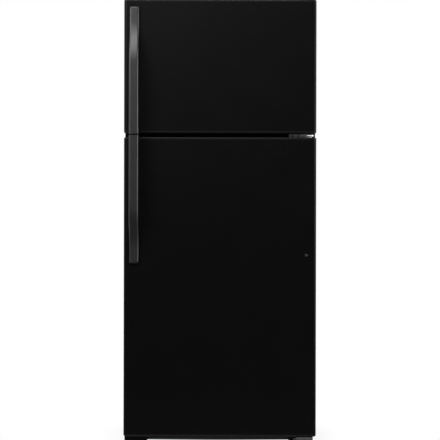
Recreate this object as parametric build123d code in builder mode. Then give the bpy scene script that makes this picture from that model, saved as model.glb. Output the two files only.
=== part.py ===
"""A 28 inch wide top freezer refrigerator as an assembly of separate pieces.

Millimetres, X to the right as seen from the front, Y to the back, Z up. The origin is on the
floor, at the middle of the width and of the depth from the handles to the back.
"""

import os
from math import sqrt

from build123d import *

os.makedirs("parts", exist_ok=True)

# Overall sizes of the cabinet and the doors
WIDTH = 711.0
CABINET_DEPTH = 640.0
CABINET_TOP = 1664.0
CABINET_BOTTOM = 40.0
DOOR_THICKNESS = 60.0
DOOR_TOP_DROP = 2.0
SPLIT_DROP = 503.5
DOOR_GAP = 15.0
DOOR_BOTTOM = 49.0
SEAL_GAP = 12.0
HANDLE_STANDOFF = 45.0

# Sheets, walls and clearances
SHEET = 1.0
LINER = 2.5
SIDE_WALL = 45.0
TOP_WALL = 50.0
BACK_WALL = 60.0
MULLION = 75.0
CAVITY_FLOOR = 105.0
LINER_BEVEL = 15.0
LINER_LIP = 12.0
RUNNING = 0.05
CLEAR = 0.3

# Machine compartment at the bottom of the back
BASE_PLATE_TOP = 60.0
BASE_SHEET = 2.0
MACHINE_DEPTH = 190.0
MACHINE_TOP = 270.0
HUMP_WALL = 50.0

# Door skins, caps, inner panels and seals
SKIN_RADIUS = 12.0
SKIN_RETURN = 20.0
CAP_RIM = 8.0
CAP_PLUG = 22.0
CAP_BEVEL = 3.5
PANEL_INSET = 7.0
SEAL_SIDE_INSET = 24.0
SEAL_END_INSET = 8.0
SEAL_WIDTH = 18.0
DYKE_SIDE_GAP = 12.5
DYKE_END_GAP = 8.0
DYKE_WIDTH = 34.0
DYKE_HEIGHT = 40.0

# Hinges
HINGE_EDGE = 22.5
HINGE_FRONT = 20.0
HINGE_PLATE = 4.0
PIN_RADIUS = 4.0
PIN_DEPTH = 20.0
BORE_SPARE = 2.0

# Depth planes, from the handles at the front to the back panel
DEPTH = HANDLE_STANDOFF + DOOR_THICKNESS + SEAL_GAP + CABINET_DEPTH
HANDLE_FRONT = -DEPTH / 2
DOOR_FRONT = HANDLE_FRONT + HANDLE_STANDOFF
DOOR_REAR = DOOR_FRONT + DOOR_THICKNESS
CABINET_FRONT = DOOR_REAR + SEAL_GAP
BACK = CABINET_FRONT + CABINET_DEPTH
SIDE = WIDTH / 2

# Inner faces of the two compartments
DOOR_SPLIT = CABINET_TOP - SPLIT_DROP
CAVITY_SIDE = SIDE - SIDE_WALL
CAVITY_BACK = BACK - BACK_WALL
CAVITY_TOP = CABINET_TOP - TOP_WALL
FREEZER_FLOOR = DOOR_SPLIT + MULLION / 2
FRIDGE_TOP = DOOR_SPLIT - MULLION / 2
MOUTH = CABINET_FRONT + SHEET
MACHINE_FRONT = BACK - MACHINE_DEPTH
HUMP_FRONT = MACHINE_FRONT - HUMP_WALL
HUMP_TOP = MACHINE_TOP + HUMP_WALL
FLANGE_EDGE = CAVITY_SIDE + LINER

# Door levels and the hinge axis
DOOR_TOP = CABINET_TOP - DOOR_TOP_DROP
FREEZER_DOOR_BOTTOM = DOOR_SPLIT + DOOR_GAP / 2
FRIDGE_DOOR_TOP = DOOR_SPLIT - DOOR_GAP / 2
HINGE_X = SIDE - HINGE_EDGE
HINGE_Y = DOOR_FRONT + HINGE_FRONT
PANEL_REAR = DOOR_REAR + LINER


def block(low, high, mode=Mode.ADD):
    """A rectangular block between two corners."""
    middle = tuple((a + b) / 2 for a, b in zip(low, high))
    with Locations(middle):
        Box(*(b - a for a, b in zip(low, high)), mode=mode)


def rod(start, axis, radius, length, mode=Mode.ADD):
    """A round bar from a start point along an axis."""
    with Locations(Plane(origin=start, z_dir=axis).location):
        Cylinder(radius, length, align=(Align.CENTER, Align.CENTER, Align.MIN), mode=mode)


def prism(start, axis, radius, sides, length):
    """A bar with flat sides from a start point along an axis."""
    with BuildSketch(Plane(origin=start, z_dir=axis)) as section:
        RegularPolygon(radius, sides)
    extrude(section.sketch, amount=length)


def finish(piece, name):
    """Names a finished piece and writes it."""
    piece.part.label = name
    export_step(piece.part, f"parts/{name}.step")


# Side panels: steel sheet with a flange at the front for the door seals and one at the back
REAR_FLANGE = 21.0
TOP_SKIRT = 20.0
SKIRT_BOTTOM = CABINET_TOP - TOP_SKIRT


def side_panel(hand, name):
    """One side of the cabinet, folded from sheet. Hand is -1 on the left and 1 on the right."""
    with BuildPart() as panel:
        with BuildSketch(Plane.XY.offset(CABINET_BOTTOM)):
            with BuildLine():
                Polyline(
                    (hand * FLANGE_EDGE, CABINET_FRONT),
                    (hand * SIDE, CABINET_FRONT),
                    (hand * SIDE, BACK),
                    (hand * (SIDE - REAR_FLANGE), BACK),
                    (hand * (SIDE - REAR_FLANGE), BACK - SHEET),
                    (hand * (SIDE - SHEET), BACK - SHEET),
                    (hand * (SIDE - SHEET), MOUTH),
                    (hand * FLANGE_EDGE, MOUTH),
                    close=True,
                )
            make_face()
        extrude(amount=SKIRT_BOTTOM - CABINET_BOTTOM)
    finish(panel, name)


side_panel(-1, "side_panel_left")
side_panel(1, "side_panel_right")

# Top panel: a sheet bent down at both sides, with flanges at the front and at the back
TOP_BEND = 8.0
TOP_FLANGE_BOTTOM = CAVITY_TOP + LINER

with BuildPart() as top_panel:
    with BuildSketch(Plane.XZ.offset(-CABINET_FRONT)) as outside:
        with Locations((0, (SKIRT_BOTTOM + CABINET_TOP) / 2)):
            Rectangle(WIDTH, TOP_SKIRT)
        fillet(outside.vertices().group_by(Axis.Y)[-1], TOP_BEND)
    extrude(amount=-CABINET_DEPTH)
    with BuildSketch(Plane.XZ.offset(-MOUTH)) as inside:
        with Locations((0, (SKIRT_BOTTOM + CABINET_TOP) / 2 - SHEET)):
            Rectangle(WIDTH - 2 * SHEET, TOP_SKIRT)
        fillet(inside.vertices().group_by(Axis.Y)[-1], TOP_BEND - SHEET)
    extrude(amount=2 * SHEET - CABINET_DEPTH, mode=Mode.SUBTRACT)
    block((-FLANGE_EDGE, CABINET_FRONT, TOP_FLANGE_BOTTOM), (FLANGE_EDGE, MOUTH, SKIRT_BOTTOM))
finish(top_panel, "top_panel")

# Back panel: a flat steel sheet between the rear flanges of the sides
REAR_EDGE = SIDE - REAR_FLANGE

with BuildPart() as back_panel:
    block((-REAR_EDGE, BACK - SHEET, MACHINE_TOP), (REAR_EDGE, BACK, SKIRT_BOTTOM))
finish(back_panel, "back_panel")

# Rear cover of the machine compartment: a sheet with rows of air slots and a gland hole
SLOT_LENGTH = 120.0
SLOT_HEIGHT = 7.0
SLOT_PITCH = 18.0
SLOT_ROWS = 7
SLOT_COLUMNS = 3
SLOT_COLUMN_PITCH = 150.0
GLAND_RADIUS = 9.0
GLAND_EDGE = 40.0

with BuildPart() as rear_cover:
    block((-REAR_EDGE, BACK - SHEET, BASE_PLATE_TOP), (REAR_EDGE, BACK, MACHINE_TOP))
    slots_middle = (BASE_PLATE_TOP + MACHINE_TOP) / 2
    with BuildSketch(Plane.XZ.offset(-BACK)):
        with Locations((0, slots_middle)):
            with GridLocations(SLOT_COLUMN_PITCH, SLOT_PITCH, SLOT_COLUMNS, SLOT_ROWS):
                Rectangle(SLOT_LENGTH, SLOT_HEIGHT)
    extrude(amount=SHEET, mode=Mode.SUBTRACT)
    gland = (REAR_EDGE - GLAND_EDGE, BACK - SHEET, BASE_PLATE_TOP + GLAND_EDGE)
    rod(gland, (0, 1, 0), GLAND_RADIUS, SHEET, mode=Mode.SUBTRACT)
finish(rear_cover, "rear_cover")

# Liners: vacuum formed plastic tubs with a lip behind the cabinet's front flanges
LINER_CORNER = 20.0
LEDGE_DEPTH = 8.0
LEDGE_HEIGHT = 6.0
LEDGE_BACK_GAP = 25.0
SHELF_SETBACK = 121.5
GLIDE_HEIGHT = 3.0
GLIDE_WIDTH = 4.0
FREEZER_SHELF_RISE = 202.0
CRISPER_COVER_RISE = 201.0
UPPER_SHELF_DROP = 338.0
CRISPER_COVER_GAP = 16.0
COIL_SPACE = 60.0
FREEZER_SHELF_LEVEL = FREEZER_FLOOR + FREEZER_SHELF_RISE
CRISPER_COVER_LEVEL = CAVITY_FLOOR + CRISPER_COVER_RISE
UPPER_SHELF_LEVEL = FRIDGE_TOP - UPPER_SHELF_DROP
SHELF_LEVELS = ((CRISPER_COVER_LEVEL + UPPER_SHELF_LEVEL) / 2, UPPER_SHELF_LEVEL)
SHELF_FRONT = CABINET_FRONT + SHELF_SETBACK
COVER_SHELF_BACK = HUMP_FRONT - CRISPER_COVER_GAP
SHELF_BACK = CAVITY_BACK - LEDGE_BACK_GAP
FREEZER_SHELF_BACK = CAVITY_BACK - COIL_SPACE - LEDGE_BACK_GAP


def cavity_form(section, grow):
    """The room of a compartment, or its outside where it grows by the wall of the liner."""
    with BuildPart() as form:
        with BuildSketch(Plane.YZ.offset(-CAVITY_SIDE - grow)) as outline:
            with BuildLine():
                Polyline(*section, close=True)
            make_face()
            fillet(outline.vertices().filter_by(lambda v: v.X > MOUTH + LINER), LINER_CORNER)
            if grow:
                offset(amount=grow, kind=Kind.INTERSECTION)
        extrude(amount=2 * (CAVITY_SIDE + grow))
        ends = form.faces().sort_by(Axis.X)
        rims = ends[0].edges() + ends[-1].edges()
        chamfer(rims.filter_by(lambda e: e.center().Y > MOUTH + LINER), LINER_BEVEL + grow)
        split(bisect_by=Plane.XZ.offset(-MOUTH), keep=Keep.BOTTOM)
    return form.part


def lip_corners(low, high):
    """Two corners of the lip round a mouth that reaches from low to high."""
    reach = LINER + LINER_LIP
    return (
        (-CAVITY_SIDE - reach, MOUTH, low - reach),
        (CAVITY_SIDE + reach, MOUTH + LINER, high + reach),
    )


freezer_section = (
    (MOUTH, FREEZER_FLOOR),
    (CAVITY_BACK, FREEZER_FLOOR),
    (CAVITY_BACK, CAVITY_TOP),
    (MOUTH, CAVITY_TOP),
)
fridge_section = (
    (MOUTH, CAVITY_FLOOR),
    (HUMP_FRONT, CAVITY_FLOOR),
    (HUMP_FRONT, HUMP_TOP),
    (CAVITY_BACK, HUMP_TOP),
    (CAVITY_BACK, FRIDGE_TOP),
    (MOUTH, FRIDGE_TOP),
)
freezer_room = cavity_form(freezer_section, 0)
freezer_outside = cavity_form(freezer_section, LINER)
fridge_room = cavity_form(fridge_section, 0)
fridge_outside = cavity_form(fridge_section, LINER)


def ledge(hand, level, back):
    """A moulded rail on a side wall of a liner, under the edge of a shelf."""
    inner = hand * (CAVITY_SIDE - LEDGE_DEPTH)
    outer = hand * (CAVITY_SIDE + LINER / 2)
    block(
        (min(inner, outer), SHELF_FRONT, level - LEDGE_HEIGHT),
        (max(inner, outer), back, level),
    )


with BuildPart() as freezer_liner:
    add(freezer_outside)
    block(*lip_corners(FREEZER_FLOOR, CAVITY_TOP))
    add(freezer_room, mode=Mode.SUBTRACT)
    for hand in (-1, 1):
        ledge(hand, FREEZER_SHELF_LEVEL, FREEZER_SHELF_BACK)
finish(freezer_liner, "freezer_liner")

CRISPER_GAP = 4.0
CRISPER_SIDE_GAP = 10.5
GLIDE_INSET = 40.0
CRISPER_SIDE = CAVITY_SIDE - CRISPER_SIDE_GAP
GLIDE_BACK = HUMP_FRONT - LINER_CORNER

with BuildPart() as fridge_liner:
    add(fridge_outside)
    block(*lip_corners(CAVITY_FLOOR, FRIDGE_TOP))
    add(fridge_room, mode=Mode.SUBTRACT)
    for hand in (-1, 1):
        ledge(hand, CRISPER_COVER_LEVEL, COVER_SHELF_BACK)
        for level in SHELF_LEVELS:
            ledge(hand, level, SHELF_BACK)
        for glide in (CRISPER_GAP + GLIDE_INSET, CRISPER_SIDE - GLIDE_INSET):
            block(
                (hand * glide - GLIDE_WIDTH / 2, SHELF_FRONT, CAVITY_FLOOR - LINER / 2),
                (hand * glide + GLIDE_WIDTH / 2, GLIDE_BACK, CAVITY_FLOOR + GLIDE_HEIGHT),
            )
finish(fridge_liner, "fridge_liner")

# Centre rail between the doors: a front plate on a channel that takes the hinge screws
RAIL_CHANNEL_HEIGHT = 38.0
RAIL_CHANNEL_DEPTH = 20.0
RAIL_HALF = MULLION / 2 - LINER
CHANNEL_LOW = DOOR_SPLIT - RAIL_CHANNEL_HEIGHT / 2
CHANNEL_HIGH = DOOR_SPLIT + RAIL_CHANNEL_HEIGHT / 2
CHANNEL_BACK = MOUTH + RAIL_CHANNEL_DEPTH

with BuildPart() as center_rail:
    with BuildSketch(Plane.YZ.offset(-FLANGE_EDGE)):
        with BuildLine():
            Polyline(
                (CABINET_FRONT, DOOR_SPLIT - RAIL_HALF),
                (MOUTH, DOOR_SPLIT - RAIL_HALF),
                (MOUTH, CHANNEL_LOW),
                (CHANNEL_BACK, CHANNEL_LOW),
                (CHANNEL_BACK, CHANNEL_HIGH),
                (MOUTH, CHANNEL_HIGH),
                (MOUTH, DOOR_SPLIT + RAIL_HALF),
                (CABINET_FRONT, DOOR_SPLIT + RAIL_HALF),
                close=True,
            )
        make_face()
        with Locations(((MOUTH + CHANNEL_BACK) / 2, DOOR_SPLIT)):
            Rectangle(
                RAIL_CHANNEL_DEPTH - 2 * SHEET,
                RAIL_CHANNEL_HEIGHT - 2 * SHEET,
                mode=Mode.SUBTRACT,
            )
    extrude(amount=2 * FLANGE_EDGE)
finish(center_rail, "center_rail")

# Bulkhead: a folded sheet that walls the machine compartment off from the foam
MACHINE_CORNER = 45.0


def machine_section(floor, back):
    """The corners of the machine compartment down to a floor and out to a back plane."""
    return (
        (MACHINE_FRONT, floor),
        (MACHINE_FRONT, MACHINE_TOP - MACHINE_CORNER),
        (MACHINE_FRONT + MACHINE_CORNER, MACHINE_TOP),
        (back, MACHINE_TOP),
        (back, floor),
    )


INNER_SIDE = SIDE - SHEET

with BuildPart() as machine_room:
    with BuildSketch(Plane.YZ.offset(-INNER_SIDE)):
        Polygon(*machine_section(BASE_PLATE_TOP, BACK), align=None)
    extrude(amount=2 * INNER_SIDE)

with BuildPart() as compressor_bulkhead:
    with BuildSketch(Plane.YZ.offset(-INNER_SIDE)):
        Polygon(*machine_section(BASE_PLATE_TOP - SHEET, BACK), align=None)
        offset(amount=-SHEET, kind=Kind.INTERSECTION, mode=Mode.SUBTRACT)
    extrude(amount=2 * INNER_SIDE)
    block((-SIDE, MACHINE_FRONT, 0), (SIDE, BACK, BASE_PLATE_TOP), mode=Mode.SUBTRACT)
    block((-SIDE, BACK - SHEET, 0), (SIDE, BACK, CABINET_TOP), mode=Mode.SUBTRACT)
finish(compressor_bulkhead, "compressor_bulkhead")

# Insulation foamed in place between the outer sheets and the liners
with BuildPart() as cabinet_foam:
    with BuildSketch(Plane.XZ.offset(-MOUTH)) as foam_section:
        with Locations((0, (BASE_PLATE_TOP + CABINET_TOP - SHEET) / 2)):
            Rectangle(2 * INNER_SIDE, CABINET_TOP - SHEET - BASE_PLATE_TOP)
        fillet(foam_section.vertices().group_by(Axis.Y)[-1], TOP_BEND)
    extrude(amount=2 * SHEET - CABINET_DEPTH)
    for outside_form in (freezer_outside, fridge_outside, machine_room.part):
        add(outside_form, mode=Mode.SUBTRACT)
    block(*lip_corners(FREEZER_FLOOR, CAVITY_TOP), mode=Mode.SUBTRACT)
    block(*lip_corners(CAVITY_FLOOR, FRIDGE_TOP), mode=Mode.SUBTRACT)
    block(
        (-FLANGE_EDGE, MOUTH, CHANNEL_LOW),
        (FLANGE_EDGE, CHANNEL_BACK, CHANNEL_HIGH),
        mode=Mode.SUBTRACT,
    )
finish(cabinet_foam, "cabinet_foam")

# Base frame: a steel tray, open below, with nut plates for the feet and ears for the rollers
APRON_EDGE = 11.5
APRON_LOW = 28.0
FOOT_EDGE = 37.5
FOOT_SETBACK = 40.0
FOOT_PLATE_LEVEL = 38.0
FOOT_PLATE = 4.0
FOOT_PLATE_REACH = 25.0
STEM_RADIUS = 5.0
ROLLER_SIDE_EDGE = 50.5
ROLLER_EDGE = 60.0
ROLLER_RADIUS = 22.0
ROLLER_WIDTH = 26.0
ROLLER_PLAY = 0.5
EAR = 3.0
EAR_HALF = 12.0
AXLE_RADIUS = 5.0
AXLE_HEAD_RADIUS = 8.0
AXLE_HEAD = 3.0
APRON_SIDE = SIDE - APRON_EDGE
FOOT_X = SIDE - FOOT_EDGE
FOOT_Y = CABINET_FRONT + FOOT_SETBACK
ROLLER_X = SIDE - ROLLER_SIDE_EDGE
ROLLER_Y = BACK - ROLLER_EDGE
TRAY_LOW = BASE_PLATE_TOP - BASE_SHEET
EAR_INNER = ROLLER_WIDTH / 2 + ROLLER_PLAY

with BuildPart() as base_frame:
    with BuildSketch(Plane.XZ.offset(-MOUTH)):
        with Locations((0, (CABINET_BOTTOM + BASE_PLATE_TOP) / 2)):
            Rectangle(2 * INNER_SIDE, BASE_PLATE_TOP - CABINET_BOTTOM)
        with Locations((0, (CABINET_BOTTOM + TRAY_LOW) / 2)):
            Rectangle(2 * (INNER_SIDE - BASE_SHEET), TRAY_LOW - CABINET_BOTTOM, mode=Mode.SUBTRACT)
    extrude(amount=2 * SHEET - CABINET_DEPTH)
    block(
        (-FLANGE_EDGE, CABINET_FRONT, CABINET_BOTTOM),
        (FLANGE_EDGE, MOUTH, CAVITY_FLOOR - LINER),
    )
    block((-APRON_SIDE, CABINET_FRONT, APRON_LOW), (APRON_SIDE, MOUTH, CABINET_BOTTOM))
    for hand in (-1, 1):
        plate_ends = sorted((hand * (FOOT_X - FOOT_PLATE_REACH), hand * INNER_SIDE))
        block(
            (plate_ends[0], MOUTH, FOOT_PLATE_LEVEL),
            (plate_ends[1], FOOT_Y + FOOT_PLATE_REACH, FOOT_PLATE_LEVEL + FOOT_PLATE),
        )
        rod(
            (hand * FOOT_X, FOOT_Y, FOOT_PLATE_LEVEL),
            (0, 0, 1),
            STEM_RADIUS + RUNNING,
            FOOT_PLATE,
            mode=Mode.SUBTRACT,
        )
        for ear_start in (-EAR_INNER - EAR, EAR_INNER):
            with BuildSketch(Plane.YZ.offset(hand * ROLLER_X + ear_start)):
                with Locations((ROLLER_Y, (ROLLER_RADIUS + TRAY_LOW) / 2)):
                    Rectangle(2 * EAR_HALF, TRAY_LOW - ROLLER_RADIUS)
                with Locations((ROLLER_Y, ROLLER_RADIUS)):
                    Circle(EAR_HALF)
                    Circle(AXLE_RADIUS, mode=Mode.SUBTRACT)
            extrude(amount=EAR)
finish(base_frame, "base_frame")

# Rear rollers on riveted axles
TREAD_BEVEL = 2.0

with BuildPart() as roller_axles:
    for hand in (-1, 1):
        outer = EAR_INNER + EAR
        start = hand * ROLLER_X - outer
        rod((start, ROLLER_Y, ROLLER_RADIUS), (1, 0, 0), AXLE_RADIUS, 2 * outer)
        for head in (start - AXLE_HEAD, start + 2 * outer):
            rod((head, ROLLER_Y, ROLLER_RADIUS), (1, 0, 0), AXLE_HEAD_RADIUS, AXLE_HEAD)
finish(roller_axles, "roller_axles")

for hand, name in ((-1, "rear_roller_left"), (1, "rear_roller_right")):
    start = (hand * ROLLER_X - ROLLER_WIDTH / 2, ROLLER_Y, ROLLER_RADIUS)
    with BuildPart() as roller:
        rod(start, (1, 0, 0), ROLLER_RADIUS, ROLLER_WIDTH)
        chamfer(roller.edges().filter_by(GeomType.CIRCLE), TREAD_BEVEL)
        rod(start, (1, 0, 0), AXLE_RADIUS + RUNNING, ROLLER_WIDTH, mode=Mode.SUBTRACT)
    finish(roller, name)

# Levelling feet: a round pad, a hexagon to turn it by and a stem up through the nut plate
PAD_RADIUS = 17.0
PAD_HEIGHT = 8.0
PAD_BEVEL = 2.5
HEX_SIDES = 6
HEX_RADIUS = 10.0
HEX_HEIGHT = 9.0
STEM_TOP = 55.0

for hand, name in ((-1, "leveling_foot_left"), (1, "leveling_foot_right")):
    with BuildPart() as foot:
        rod((hand * FOOT_X, FOOT_Y, 0), (0, 0, 1), PAD_RADIUS, PAD_HEIGHT)
        chamfer(foot.edges().group_by(Axis.Z)[-1], PAD_BEVEL)
        prism((hand * FOOT_X, FOOT_Y, PAD_HEIGHT), (0, 0, 1), HEX_RADIUS, HEX_SIDES, HEX_HEIGHT)
        rod((hand * FOOT_X, FOOT_Y, PAD_HEIGHT), (0, 0, 1), STEM_RADIUS, STEM_TOP - PAD_HEIGHT)
    finish(foot, name)

# Base grille: a moulded plinth with air slots, raised in the middle and notched for the hinge
GRILLE_FORWARD = 24.0
GRILLE_WALL = 2.5
GRILLE_LEFT_EDGE = 1.0
GRILLE_RIGHT_EDGE = 8.0
GRILLE_DOOR_GAP = 7.0
GRILLE_LOW = 10.0
GRILLE_RAISED = 31.0
GRILLE_NOTCH_TOP = 31.5
GRILLE_NOTCH_REACH = 57.0
GRILLE_LEFT_LEG = 71.5
GRILLE_RIGHT_LEG = 77.5
GRILLE_SLANT = 15.0
VENT_LENGTH = 84.0
VENT_HEIGHT = 3.5
VENT_PITCH = 87.0
VENT_LEVEL = 37.0
GRILLE_FRONT = CABINET_FRONT - GRILLE_FORWARD
GRILLE_TOP = DOOR_BOTTOM - GRILLE_DOOR_GAP
GRILLE_LEFT = GRILLE_LEFT_EDGE - SIDE
GRILLE_RIGHT = SIDE - GRILLE_RIGHT_EDGE
GRILLE_NOTCH_X = HINGE_X - GRILLE_NOTCH_REACH
GRILLE_LEFT_FOOT = GRILLE_LEFT + GRILLE_LEFT_LEG
GRILLE_RIGHT_FOOT = GRILLE_RIGHT - GRILLE_RIGHT_LEG
VENT_MIDDLE = (GRILLE_LEFT_FOOT + GRILLE_RIGHT_FOOT) / 2
VENT_COUNT = int((GRILLE_RIGHT_FOOT - GRILLE_LEFT_FOOT - 2 * GRILLE_SLANT) // VENT_PITCH)

with BuildPart() as base_grille:
    with BuildSketch(Plane.XZ.offset(-GRILLE_FRONT)):
        with BuildLine():
            Polyline(
                (GRILLE_LEFT, GRILLE_LOW),
                (GRILLE_LEFT, GRILLE_TOP),
                (GRILLE_NOTCH_X, GRILLE_TOP),
                (GRILLE_NOTCH_X, GRILLE_NOTCH_TOP),
                (GRILLE_RIGHT, GRILLE_NOTCH_TOP),
                (GRILLE_RIGHT, GRILLE_LOW),
                (GRILLE_RIGHT_FOOT, GRILLE_LOW),
                (GRILLE_RIGHT_FOOT - GRILLE_SLANT, GRILLE_RAISED),
                (GRILLE_LEFT_FOOT + GRILLE_SLANT, GRILLE_RAISED),
                (GRILLE_LEFT_FOOT, GRILLE_LOW),
                close=True,
            )
        make_face()
        with Locations((VENT_MIDDLE, VENT_LEVEL)):
            with GridLocations(VENT_PITCH, VENT_HEIGHT, VENT_COUNT, 1):
                Rectangle(VENT_LENGTH, VENT_HEIGHT, mode=Mode.SUBTRACT)
    extrude(amount=-GRILLE_WALL)
    block(
        (GRILLE_LEFT, GRILLE_FRONT, GRILLE_TOP - GRILLE_WALL),
        (GRILLE_NOTCH_X, CABINET_FRONT, GRILLE_TOP),
    )
    for edge, top in ((GRILLE_LEFT, GRILLE_TOP), (GRILLE_RIGHT - GRILLE_WALL, GRILLE_NOTCH_TOP)):
        block((edge, GRILLE_FRONT, GRILLE_LOW), (edge + GRILLE_WALL, CABINET_FRONT, top))
finish(base_grille, "base_grille")

# Outlines of a door seen from above, outside and inside its sheet
with BuildSketch() as door_outline:
    with Locations((0, (DOOR_FRONT + DOOR_REAR) / 2)):
        Rectangle(WIDTH, DOOR_THICKNESS)
    fillet(door_outline.vertices().group_by(Axis.Y)[0], SKIN_RADIUS)
with BuildSketch() as door_inside:
    add(door_outline.sketch)
    offset(amount=-SHEET, mode=Mode.REPLACE)

# The dyke of a door's inner panel: a raised frame that reaches into the compartment
DYKE_CORNER = 22.0
DYKE_INNER_CORNER = 16.0
DYKE_CREST = 3.0
DYKE_SIDE = CAVITY_SIDE - DYKE_SIDE_GAP
DYKE_INNER = DYKE_SIDE - DYKE_WIDTH
PANEL_SIDE = SIDE - PANEL_INSET


def dyke_ring(low, high, inset):
    """The plan of a dyke between two levels, drawn in from both of its sides by an inset."""
    with BuildSketch() as ring:
        with Locations((0, (low + high) / 2)):
            RectangleRounded(
                2 * (DYKE_SIDE - inset), high - low - 2 * inset, DYKE_CORNER - inset
            )
            RectangleRounded(
                2 * (DYKE_INNER + inset),
                high - low - 2 * (DYKE_WIDTH - inset),
                DYKE_INNER_CORNER,
                mode=Mode.SUBTRACT,
            )
    return ring.sketch


# Lugs of the inner panels, which carry the bins
LUG_REACH = 6.0
LUG_HEIGHT = 6.0
LUG_LENGTH = 40.0
CAP_WALL = 4.0
BOSS_RADIUS = 12.0
COLLAR_RADIUS = 9.0
SEAL_ROUND = 3.0
BORE_RADIUS = PIN_RADIUS + RUNNING
BORE_DEPTH = PIN_DEPTH + BORE_SPARE


def door(name, low, high, room_low, room_high, collar, lug_levels, plug=None):
    """The skin, end caps, foam, inner panel and seal of a door."""
    skin_low = low + CAP_RIM
    skin_high = high - CAP_RIM
    dyke_low = room_low + DYKE_END_GAP
    dyke_high = room_high - DYKE_END_GAP

    with BuildPart() as skin:
        with BuildSketch(Plane.XY.offset(skin_low)):
            add(door_outline.sketch)
            add(door_inside.sketch, mode=Mode.SUBTRACT)
            with Locations((0, DOOR_REAR)):
                Rectangle(WIDTH - 2 * SKIN_RETURN, 2 * SHEET, mode=Mode.SUBTRACT)
        extrude(amount=skin_high - skin_low)
        if plug:
            rod((plug[0], DOOR_FRONT, plug[1]), (0, 1, 0), PLUG_STEM, SHEET, mode=Mode.SUBTRACT)
    finish(skin, f"{name}_skin")

    with BuildPart() as caps:
        for face, inward in ((high, -1), (low, 1)):
            with BuildSketch(Plane.XY.offset(face)):
                add(door_outline.sketch)
            extrude(amount=inward * CAP_RIM)
            with BuildSketch(Plane.XY.offset(face + inward * CAP_RIM)):
                add(door_inside.sketch)
                offset(amount=-CAP_WALL, mode=Mode.SUBTRACT)
                with Locations((HINGE_X, HINGE_Y)):
                    Circle(BOSS_RADIUS)
            extrude(amount=inward * CAP_PLUG)
        for level in (caps.edges().group_by(Axis.Z)[-1], caps.edges().group_by(Axis.Z)[0]):
            chamfer(level.filter_by(lambda e: e.center().Y < DOOR_REAR - SHEET), CAP_BEVEL)
        rod((HINGE_X, HINGE_Y, low - collar), (0, 0, 1), COLLAR_RADIUS, collar + CAP_RIM)
        rod((HINGE_X, HINGE_Y, high), (0, 0, -1), BORE_RADIUS, BORE_DEPTH, mode=Mode.SUBTRACT)
        rod(
            (HINGE_X, HINGE_Y, low - collar),
            (0, 0, 1),
            BORE_RADIUS,
            collar + BORE_DEPTH,
            mode=Mode.SUBTRACT,
        )
    finish(caps, f"{name}_caps")

    with BuildPart() as foam:
        with BuildSketch(Plane.XY.offset(skin_low)):
            add(door_inside.sketch)
            with Locations((0, DOOR_REAR - SHEET / 2)):
                Rectangle(WIDTH - 2 * SKIN_RETURN, SHEET)
        extrude(amount=skin_high - skin_low)
        with BuildSketch(Plane.XZ.offset(-DOOR_REAR)):
            add(dyke_ring(dyke_low, dyke_high, LINER))
        extrude(amount=-DYKE_HEIGHT)
        add(caps.part, mode=Mode.SUBTRACT)
        for face, inward in ((skin_high, -1), (skin_low, 1)):
            rod((HINGE_X, HINGE_Y, face), (0, 0, inward), BOSS_RADIUS, CAP_PLUG, mode=Mode.SUBTRACT)
        if plug:
            rod((plug[0], DOOR_FRONT, plug[1]), (0, 1, 0), PLUG_STEM, PLUG_LENGTH, mode=Mode.SUBTRACT)
    finish(foam, f"{name}_foam")

    with BuildPart() as panel:
        block(
            (-PANEL_SIDE, DOOR_REAR, low + PANEL_INSET),
            (PANEL_SIDE, PANEL_REAR, high - PANEL_INSET),
        )
        with BuildSketch(Plane.XZ.offset(-PANEL_REAR)):
            add(dyke_ring(dyke_low, dyke_high, 0))
        extrude(amount=-DYKE_HEIGHT)
        chamfer(panel.edges().group_by(Axis.Y)[-1], DYKE_CREST)
        for level in lug_levels:
            for hand in (-1, 1):
                ends = sorted((hand * (DYKE_INNER - LUG_REACH), hand * (DYKE_INNER + LINER)))
                block(
                    (ends[0], PANEL_REAR, level - LUG_HEIGHT),
                    (ends[1], PANEL_REAR + LUG_LENGTH, level),
                )
        with BuildSketch(Plane.XZ.offset(-DOOR_REAR)):
            add(dyke_ring(dyke_low, dyke_high, LINER))
        extrude(amount=-DYKE_HEIGHT, mode=Mode.SUBTRACT)
    finish(panel, f"{name}_liner")

    with BuildPart() as seal:
        with BuildSketch(Plane.XZ.offset(-PANEL_REAR)):
            with Locations((0, (low + high) / 2)):
                Rectangle(2 * (SIDE - SEAL_SIDE_INSET), high - low - 2 * SEAL_END_INSET)
                Rectangle(
                    2 * (SIDE - SEAL_SIDE_INSET - SEAL_WIDTH),
                    high - low - 2 * (SEAL_END_INSET + SEAL_WIDTH),
                    mode=Mode.SUBTRACT,
                )
        extrude(amount=PANEL_REAR - CABINET_FRONT + CLEAR)
        fillet(seal.edges().group_by(Axis.Y)[-1], SEAL_ROUND)
    finish(seal, f"{name}_gasket")


# Hinge plates and the gaps that the doors' thrust collars bridge
BOTTOM_PLATE_GAP = 2.0
BOTTOM_PLATE_TOP = DOOR_BOTTOM - BOTTOM_PLATE_GAP
CENTER_PLATE_TOP = DOOR_SPLIT + HINGE_PLATE / 2
CENTER_PLATE_BOTTOM = DOOR_SPLIT - HINGE_PLATE / 2

# Plug in the spare handle hole of the lower door
PLUG_EDGE = 37.5
PLUG_DROP = 442.5
PLUG_STEM = 4.0
PLUG_LENGTH = 9.0
PLUG_HEAD = 5.5
PLUG_DOME = 1.6
PLUG_BEVEL = 1.2
PLUG_X = SIDE - PLUG_EDGE
PLUG_LEVEL = DOOR_SPLIT - PLUG_DROP

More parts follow.
